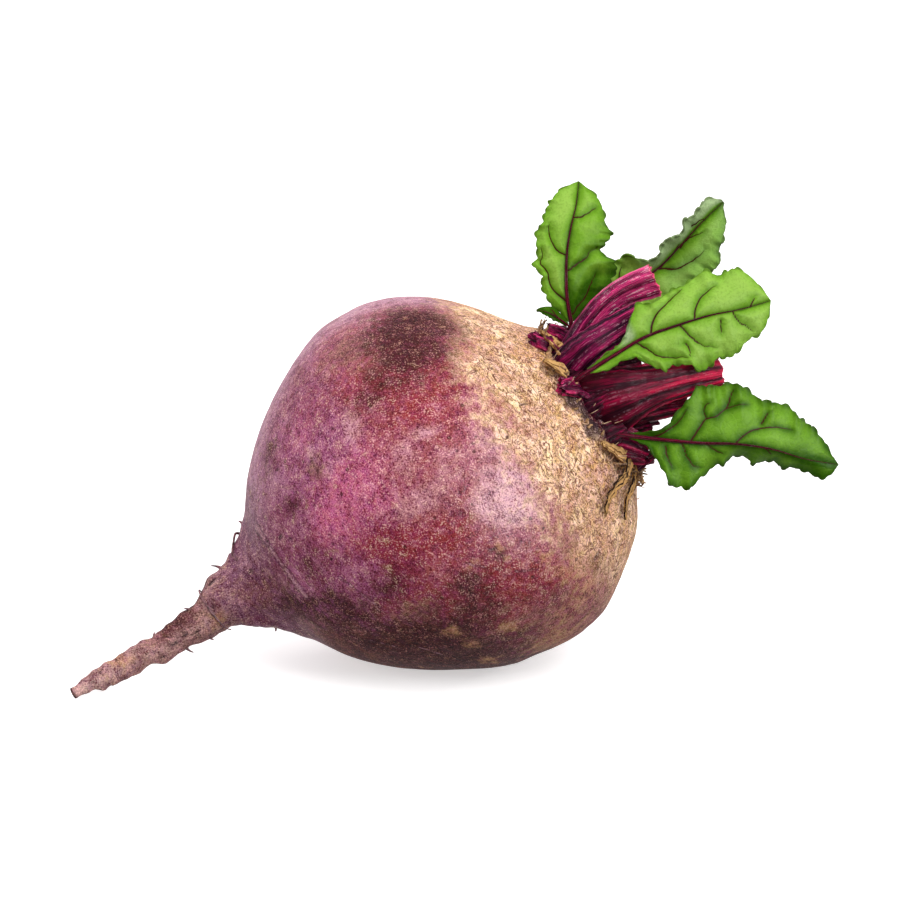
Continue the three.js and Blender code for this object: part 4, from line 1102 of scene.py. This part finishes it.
STRIP, SCALE, SHRED = 0.3, 0.7, 0.2  # how thick each kind of dry skin is
STRIP_GRID, SCALE_GRID, SHRED_GRID = (14, 60), (22, 14), (5, 9)
FIBRE_GRID, ROOTLET_GRID, WRAP_GRID, HAIR_GRID = (5, 10), (6, 12), (6, 40), (6, 30)
STRIP_CLEAR = 0.45  # a strip stands this far off, to clear the skin's relief
# The centre line of each strip, [along, angle, height off the skin], and its widths.
DRY_STRIPS = {
    "dry_flap_top": {"line": [[35, 10, 0.4], [35.4, 24, 0.8], [36.4, 36, 0.4]], "width": [2, 4.4, 2.4]},
    "dry_flap_near": {
        "line": [[33.4, 39, 0.5], [34.4, 47, 0.9], [35.6, 54, 0.5]], "width": [1.8, 3.6, 2],
    },
    "dry_flap_low": {
        "line": [[34.4, 97, 0.3], [35.4, 114, 0.8], [36.4, 136, 0.5]], "width": [1.4, 3, 1.6],
    },
    "dry_flap_under": {
        "line": [[35, 176, 0.1], [34.4, 196, 0.6], [34.8, 218, 0.2]], "width": [1.6, 3.8, 2],
    },
    "dry_flap_far": {"line": [[35.4, 262, 0.3], [35, 284, 0.9], [35.4, 306, 0.4]], "width": [1.6, 4, 2]},
    "old_stalk_near": {
        "line": [[36, 121, 1], [34.4, 122, 1.3], [31.9, 117.5, 1], [29.6, 116, 0.7], [27.6, 119.5, 0.3]],
        "width": [2.4, 2.2, 2, 1.5, 0.7],
    },
    "old_stalk_low": {
        "line": [[36.4, 137, 0.8], [34, 134, 1.2], [31.7, 130, 0.8], [29.6, 136, 0.3]],
        "width": [2.2, 1.9, 1.4, 0.7],
    },
}


def strip_piece(name, strip, material):
    """A thin ragged strip that follows the skin."""
    seed = sum(map(ord, name)) % 53

    def place(u, v):
        along, degrees, lift = glide(strip["line"], v).T
        here = skin_point(along, degrees)
        after, before = (skin_point(*glide(strip["line"], v + step).T[:2]) for step in (0.01, -0.01))
        out = unit(here - np.array([0, 0, BULB_HEIGHT]))
        side = unit(np.cross(after - before, out))
        torn = grain(here + side * np.sign(u - 0.5)[:, None], 1.3, seed, 2)
        width = glide(strip["width"], v)
        x = (u - 0.5) * width * (1 + 0.3 * torn) * smooth(np.minimum(v, 1 - v), -0.01, 0.08)
        wavy = 0.25 * grain(here, 2.2, seed + 3, 2) + 0.1 * np.cos(14 * u + 3 * torn)
        curl = 0.8 * (u - 0.5) ** 2 * width
        points = here + side * x[:, None] + out * (STRIP_CLEAR + lift + wavy + curl)[:, None]
        return points, {"across": u + 0.1 * torn}

    bm = bmesh.new()
    sheet(bm, *STRIP_GRID, place)
    thicken(piece(f"{name}_skin", bm, [material], [name], closed=False), STRIP)


# The rings of scales that pack the crown: [along, count, length, width].
SCALE_RINGS = [[35.6, 15, 5.5, 6.5], [37.6, 12, 6, 5], [40.2, 8, 5.5, 4.2]]
SHREDS = 90
RIM_FIBRES = 54
STALK_FIBRES = {
    "stalk_wide": 26, "stalk_middle": 12, "stalk_dark": 8, "stalk_short": 10, "stalk_far_upper": 8,
    "stalk_far_lower": 10,
}


def crown_scales(rng, material):
    """Small sheath scales packed over the crown."""
    bm = bmesh.new()
    for along, count, length, width in SCALE_RINGS:
        for k in range(count):
            degrees = 360 * (k + rng.uniform(-0.3, 0.3)) / count
            tall, wide = length * rng.uniform(0.7, 1.2), width * rng.uniform(0.8, 1.2)
            seed = rng.uniform(0, 50)
            base, out = skin_point(along, degrees, lift=-0.8)[0], outward(along, degrees)
            up = unit(AXIS + out * rng.uniform(-0.25, 0.3))
            side = np.cross(up, out)

            def place(u, v):
                x = (u - 0.5) * wide * (1 - 0.55 * v**1.5)
                lumps = grain(np.stack([x, v * tall, x * 0], 1), 1.4, seed, 3)
                ribs = np.cos(10 * np.pi * u)
                bow = -1.4 * (2 * u - 1) ** 2 + 0.22 * ribs + 0.4 * lumps
                rise = v * tall + 0.8 * lumps * smooth(v, 0.6, 1)
                points = base + side * x[:, None] + up * rise[:, None] + out * bow[:, None]
                # The scales' feet are painted darker, as shade deep in the crown.
                return points, {"rib": 0.5 + 0.5 * ribs, "glow": mix(-0.6, 0, v),
                                "cut": 0.5 * smooth(v, 0.8, 1), "tint": 0.3 + 0 * u}

            sheet(bm, *SCALE_GRID, place)
    thicken(piece("crown_scales", bm, [material], closed=False), SCALE, -1)


def crown_torn_skin(rng, material):
    """Shreds of torn papery skin round the crown's rim, worn down on the near side."""
    bm = bmesh.new()
    for k in range(SHREDS):
        degrees = 360 / SHREDS * (k + rng.uniform(-0.6, 0.6))
        along = CROWN_RIM + rng.uniform(-0.7, 0.7)
        tall, wide, seed = rng.uniform(1.2, 3), rng.uniform(0.35, 1.3), rng.uniform(0, 50)
        if 60 < degrees < 112:
            tall, wide = 0.6 * tall, 0.6 * wide
        base, out = skin_point(along, degrees)[0], outward(along, degrees)
        swing = unit(np.cross(AXIS, out)) * rng.uniform(-0.9, 0.9)
        up = unit(AXIS + out * rng.uniform(-0.1, 0.7) + swing)
        side = unit(np.cross(up, out))

        def place(u, v):
            torn = grain(np.stack([v * tall, 0 * v + seed, 0 * v], 1), 0.9, seed, 3)
            x = (u - 0.5) * wide * (1 - 0.85 * v**1.5) * (1 + 0.4 * torn) + 0.3 * torn
            bow = 0.35 * torn - 0.25 * wide * (2 * u - 1) ** 2 + 0.5 * np.sin(2.5 * v + seed) * v
            return base + side * x[:, None] + up * (v * tall)[:, None] + out * bow[:, None], {}

        sheet(bm, *SHRED_GRID, place)
    thicken(piece("crown_torn_skin", bm, [material], closed=False), SHRED)


def crown_fibres(rng, material):
    """Thin dry fibres round the crown's rim and among the feet of the stalks."""
    steps = np.linspace(0, 1, 5)
    bm = bmesh.new()
    for _ in range(RIM_FIBRES):
        degrees, along = rng.uniform(-40, 220), rng.uniform(33, 38.5)
        here, out = skin_point(along, degrees)[0], outward(along, degrees)
        swing = unit(rng.normal(size=3))
        reach = rng.uniform(1.5, 5) * (0.4 if degrees > 110 else 1)  # worn short underneath
        line = [here + reach * s * unit(out + 0.8 * AXIS * s + 0.5 * swing) + 0.7 * swing * math.sin(4 * s)
                for s in steps]
        sheet(bm, *FIBRE_GRID, rod(line, [0.16, 0.13, 0.1, 0.05]))
    for name, count in STALK_FIBRES.items():
        stalk = STALKS[name]
        for _ in range(count):
            t = np.array([rng.uniform(0.02, 0.4)])
            middle, width, depth = (glide(stalk[key], t)[0] for key in ("line", "width", "depth"))
            ahead = unit(glide(stalk["line"], t + 0.01)[0] - middle)
            out = unit(np.cross(ahead, np.cross(np.array(stalk["groove"], float), ahead)))
            side = np.cross(ahead, out)
            here = middle + out * depth * 0.42 + side * width * rng.uniform(-0.45, 0.45)
            swing = unit(ahead * rng.uniform(-0.3, 1) + out * rng.uniform(0.1, 0.6)
                         + side * rng.uniform(-1, 1))
            reach = rng.uniform(1.5, 4.5)
            line = [here + reach * s * swing + 0.8 * out * math.sin(3 * s) for s in steps]
            sheet(bm, *FIBRE_GRID, rod(line, [0.13, 0.11, 0.08, 0.04]))
    piece("crown_fibres", bm, [material])


# Hair roots left on the tail and neck: [along, angle, length out, lean along the axis].
ROOTLETS = [
    [-47, 0, 1.6, -1.6], [-44.8, 352, 1, 0.8], [-38.6, 356, 1.2, -0.5], [-57, 0, 0.9, -0.8],
    [-61.5, 170, 1.6, 0.9], [-66, 350, 0.8, 0.6], [-49, 172, 0.8, 0.7], [-43.5, 168, 0.9, -0.5],
    [-40, 165, 0.8, 0.6], [-78, 160, 0.7, 0.3], [-56, 155, 0.9, 0.5], [-52, 225, 1.2, 0.5],
    [-61, 260, 1.4, -0.9], [-69, 300, 1, 0.7], [-45, 240, 1.5, 0.8], [-39, 290, 1.1, -0.6],
]
# One hair root lies on the neck along these places: [along, angle, height off the skin].
NECK_HAIR = [
    [-40, 2, 0], [-40.6, 4, 0.9], [-41.6, 9, 0.5], [-42.4, 18, 0.3], [-42.6, 28, 0.4], [-42, 38, 0.2],
]


def rootlets(material):
    """Stubs of hair roots, with one wrapped round the tail and one lying on the neck."""
    bm = bmesh.new()
    for along, degrees, reach, sweep in ROOTLETS:
        here, out = skin_point(along, degrees, lift=-0.4)[0], outward(along, degrees)
        line = [here + out * reach * s + (AXIS + NEAR * 0.3) * sweep * s**2 for s in np.linspace(0, 1, 5)]
        sheet(bm, *ROOTLET_GRID, rod(line, [0.42, 0.3, 0.2, 0.1], rough=0.3, seed=along))
    wrap = [skin_point(-53.5 + 2 * s, -30 + 190 * s, 0.35 + 0.2 * math.sin(9 * s))[0]
            for s in np.linspace(0, 1, 12)]
    sheet(bm, *WRAP_GRID, rod(wrap, [0.12, 0.2, 0.22, 0.2, 0.12]))
    hair = [skin_point(*spot)[0] for spot in NECK_HAIR]
    sheet(bm, *HAIR_GRID, rod(hair, [0.3, 0.24, 0.22, 0.2, 0.12]))
    piece("rootlets", bm, [material])


# ---- floor, light and camera --------------------------------------------------------------

def floor():
    """A white light table that takes shadows and throws no light back."""
    bpy.ops.mesh.primitive_plane_add(size=16)
    table = bpy.context.object
    table.name = "floor"
    material, _ = new_material("white light table")
    feed(material.node_tree, material.node_tree.nodes["Principled BSDF"], {
        "Base Color": "#e4e2e2", "Roughness": 0.9, "Specular IOR Level": 0.0,
        "Emission Color": "#ffffff", "Emission Strength": 0.52,
    })
    table.data.materials.append(material)
    table.visible_diffuse = table.visible_glossy = False


def room():
    """A white room, dim below the table's height and in front, and bright above and behind."""
    world = bpy.data.worlds.new("studio")
    bpy.context.scene.world = world
    world.use_nodes = True
    node = partial(add, world.node_tree)
    way = node("TexCoord", out="Generated")
    behind = node("MapRange", [node("SeparateXYZ", [way], "Y"), -0.9, 0.5, 0.55, 1.1], **EASED)
    above = node("MapRange", [node("SeparateXYZ", [way], "Z"), -0.4, 0.5, 0.72, 1.0], **EASED)
    feed(world.node_tree, world.node_tree.nodes["Background"], {
        "Color": "#ffffff", "Strength": node("Math", [behind, above], **TIMES),
    })


# Each softbox: [azimuth from the near side, elevation, distance and size in metres, watts]. The
# glint's small box is seen in gloss alone, so it lays a sheen on the skin and lights nothing.
SOFTBOXES = {
    "key": [38, 38, 0.7, 0.4, 3.2], "glint": [43, 12, 0.6, 0.12, 18.0], "side": [105, 15, 0.9, 0.6, 1.6],
    "fill": [-50, 20, 0.9, 0.6, 2.0], "top": [0, 75, 0.8, 0.5, 1.2], "rim": [-150, 40, 0.9, 0.5, 1.8],
}


def softboxes():
    middle = Vector((0, 0, BULB_HEIGHT * MM))
    for name, (azimuth, height, distance, size, power) in SOFTBOXES.items():
        a, e = math.radians(azimuth), math.radians(height)
        way = Vector((math.sin(a) * math.cos(e), -math.cos(a) * math.cos(e), math.sin(e)))
        lamp = bpy.data.lights.new(name, "AREA")
        lamp.shape, lamp.size, lamp.energy = "SQUARE", size, power
        box = bpy.data.objects.new(name, lamp)
        box.location = middle + way * distance
        box.rotation_euler = way.to_track_quat("Z", "Y").to_euler()
        box.visible_diffuse = name != "glint"
        bpy.context.scene.collection.objects.link(box)


CAMERA_PLACE = Vector((2.02, -490.38, 156.48)) * MM
CAMERA_DIP = math.radians(13)  # how far it looks down


def camera():
    eye = bpy.data.cameras.new("camera")
    eye.lens, eye.sensor_width = 100.0, 36.0
    eye.clip_start, eye.clip_end = 0.01, 50
    held = bpy.data.objects.new("camera", eye)
    held.location = CAMERA_PLACE
    held.rotation_euler = (math.pi / 2 - CAMERA_DIP, 0, 0)
    bpy.context.scene.collection.objects.link(held)
    bpy.context.scene.camera = held
    bpy.context.scene.view_settings.view_transform = "Standard"


# ---- the beetroot -------------------------------------------------------------------------

root_piece()
stalk_flesh = stalk_material()
for stalk_name, stalk in STALKS.items():
    stalk_piece(stalk_name, stalk, stalk_flesh)

# A leaf's colours go from its lightest cushions, painted light, to its darkest folds, painted shade.
leaf_top = leaf_material("leaf, upper face", "#8ab048", "#669424", "#2a5202", roughness=0.45, shine=0.02)
leaf_under = leaf_material("leaf, lower face", "#8fa868", "#789052", "#557434", roughness=0.6, shine=0.1)
for leaf_name, leaf in LEAVES.items():
    leaf_blade(leaf_name, leaf, [leaf_top, leaf_under])
    leaf_midrib(leaf_name, leaf, stalk_flesh)

dry_skin = plain_material("dry husk", "#b98f62", "#4a2f20", 1.1, 0.8)
peel = husk_material("dry peel", "#c49a62", "#5a3418", -0.2, 1.1)
dead_stalk = husk_material("dead stalk", "#b58a55", "#1c0c06", -0.4, 0.6)
dry_fibre = plain_material("dry fibre", "#d3b08f", "#7f5040", 1.5, 0.7)
hair_root = plain_material("hair root", "#8d6066", "#4a2b30", 0.9, 0.7)
for strip_name, strip in DRY_STRIPS.items():
    strip_piece(strip_name, strip, dead_stalk if strip_name.startswith("old") else peel)
crown_draws = np.random.default_rng(11)
crown_scales(crown_draws, stalk_flesh)
crown_torn_skin(crown_draws, dry_skin)
crown_fibres(np.random.default_rng(23), dry_fibre)
rootlets(hair_root)

floor()
room()
softboxes()
camera()
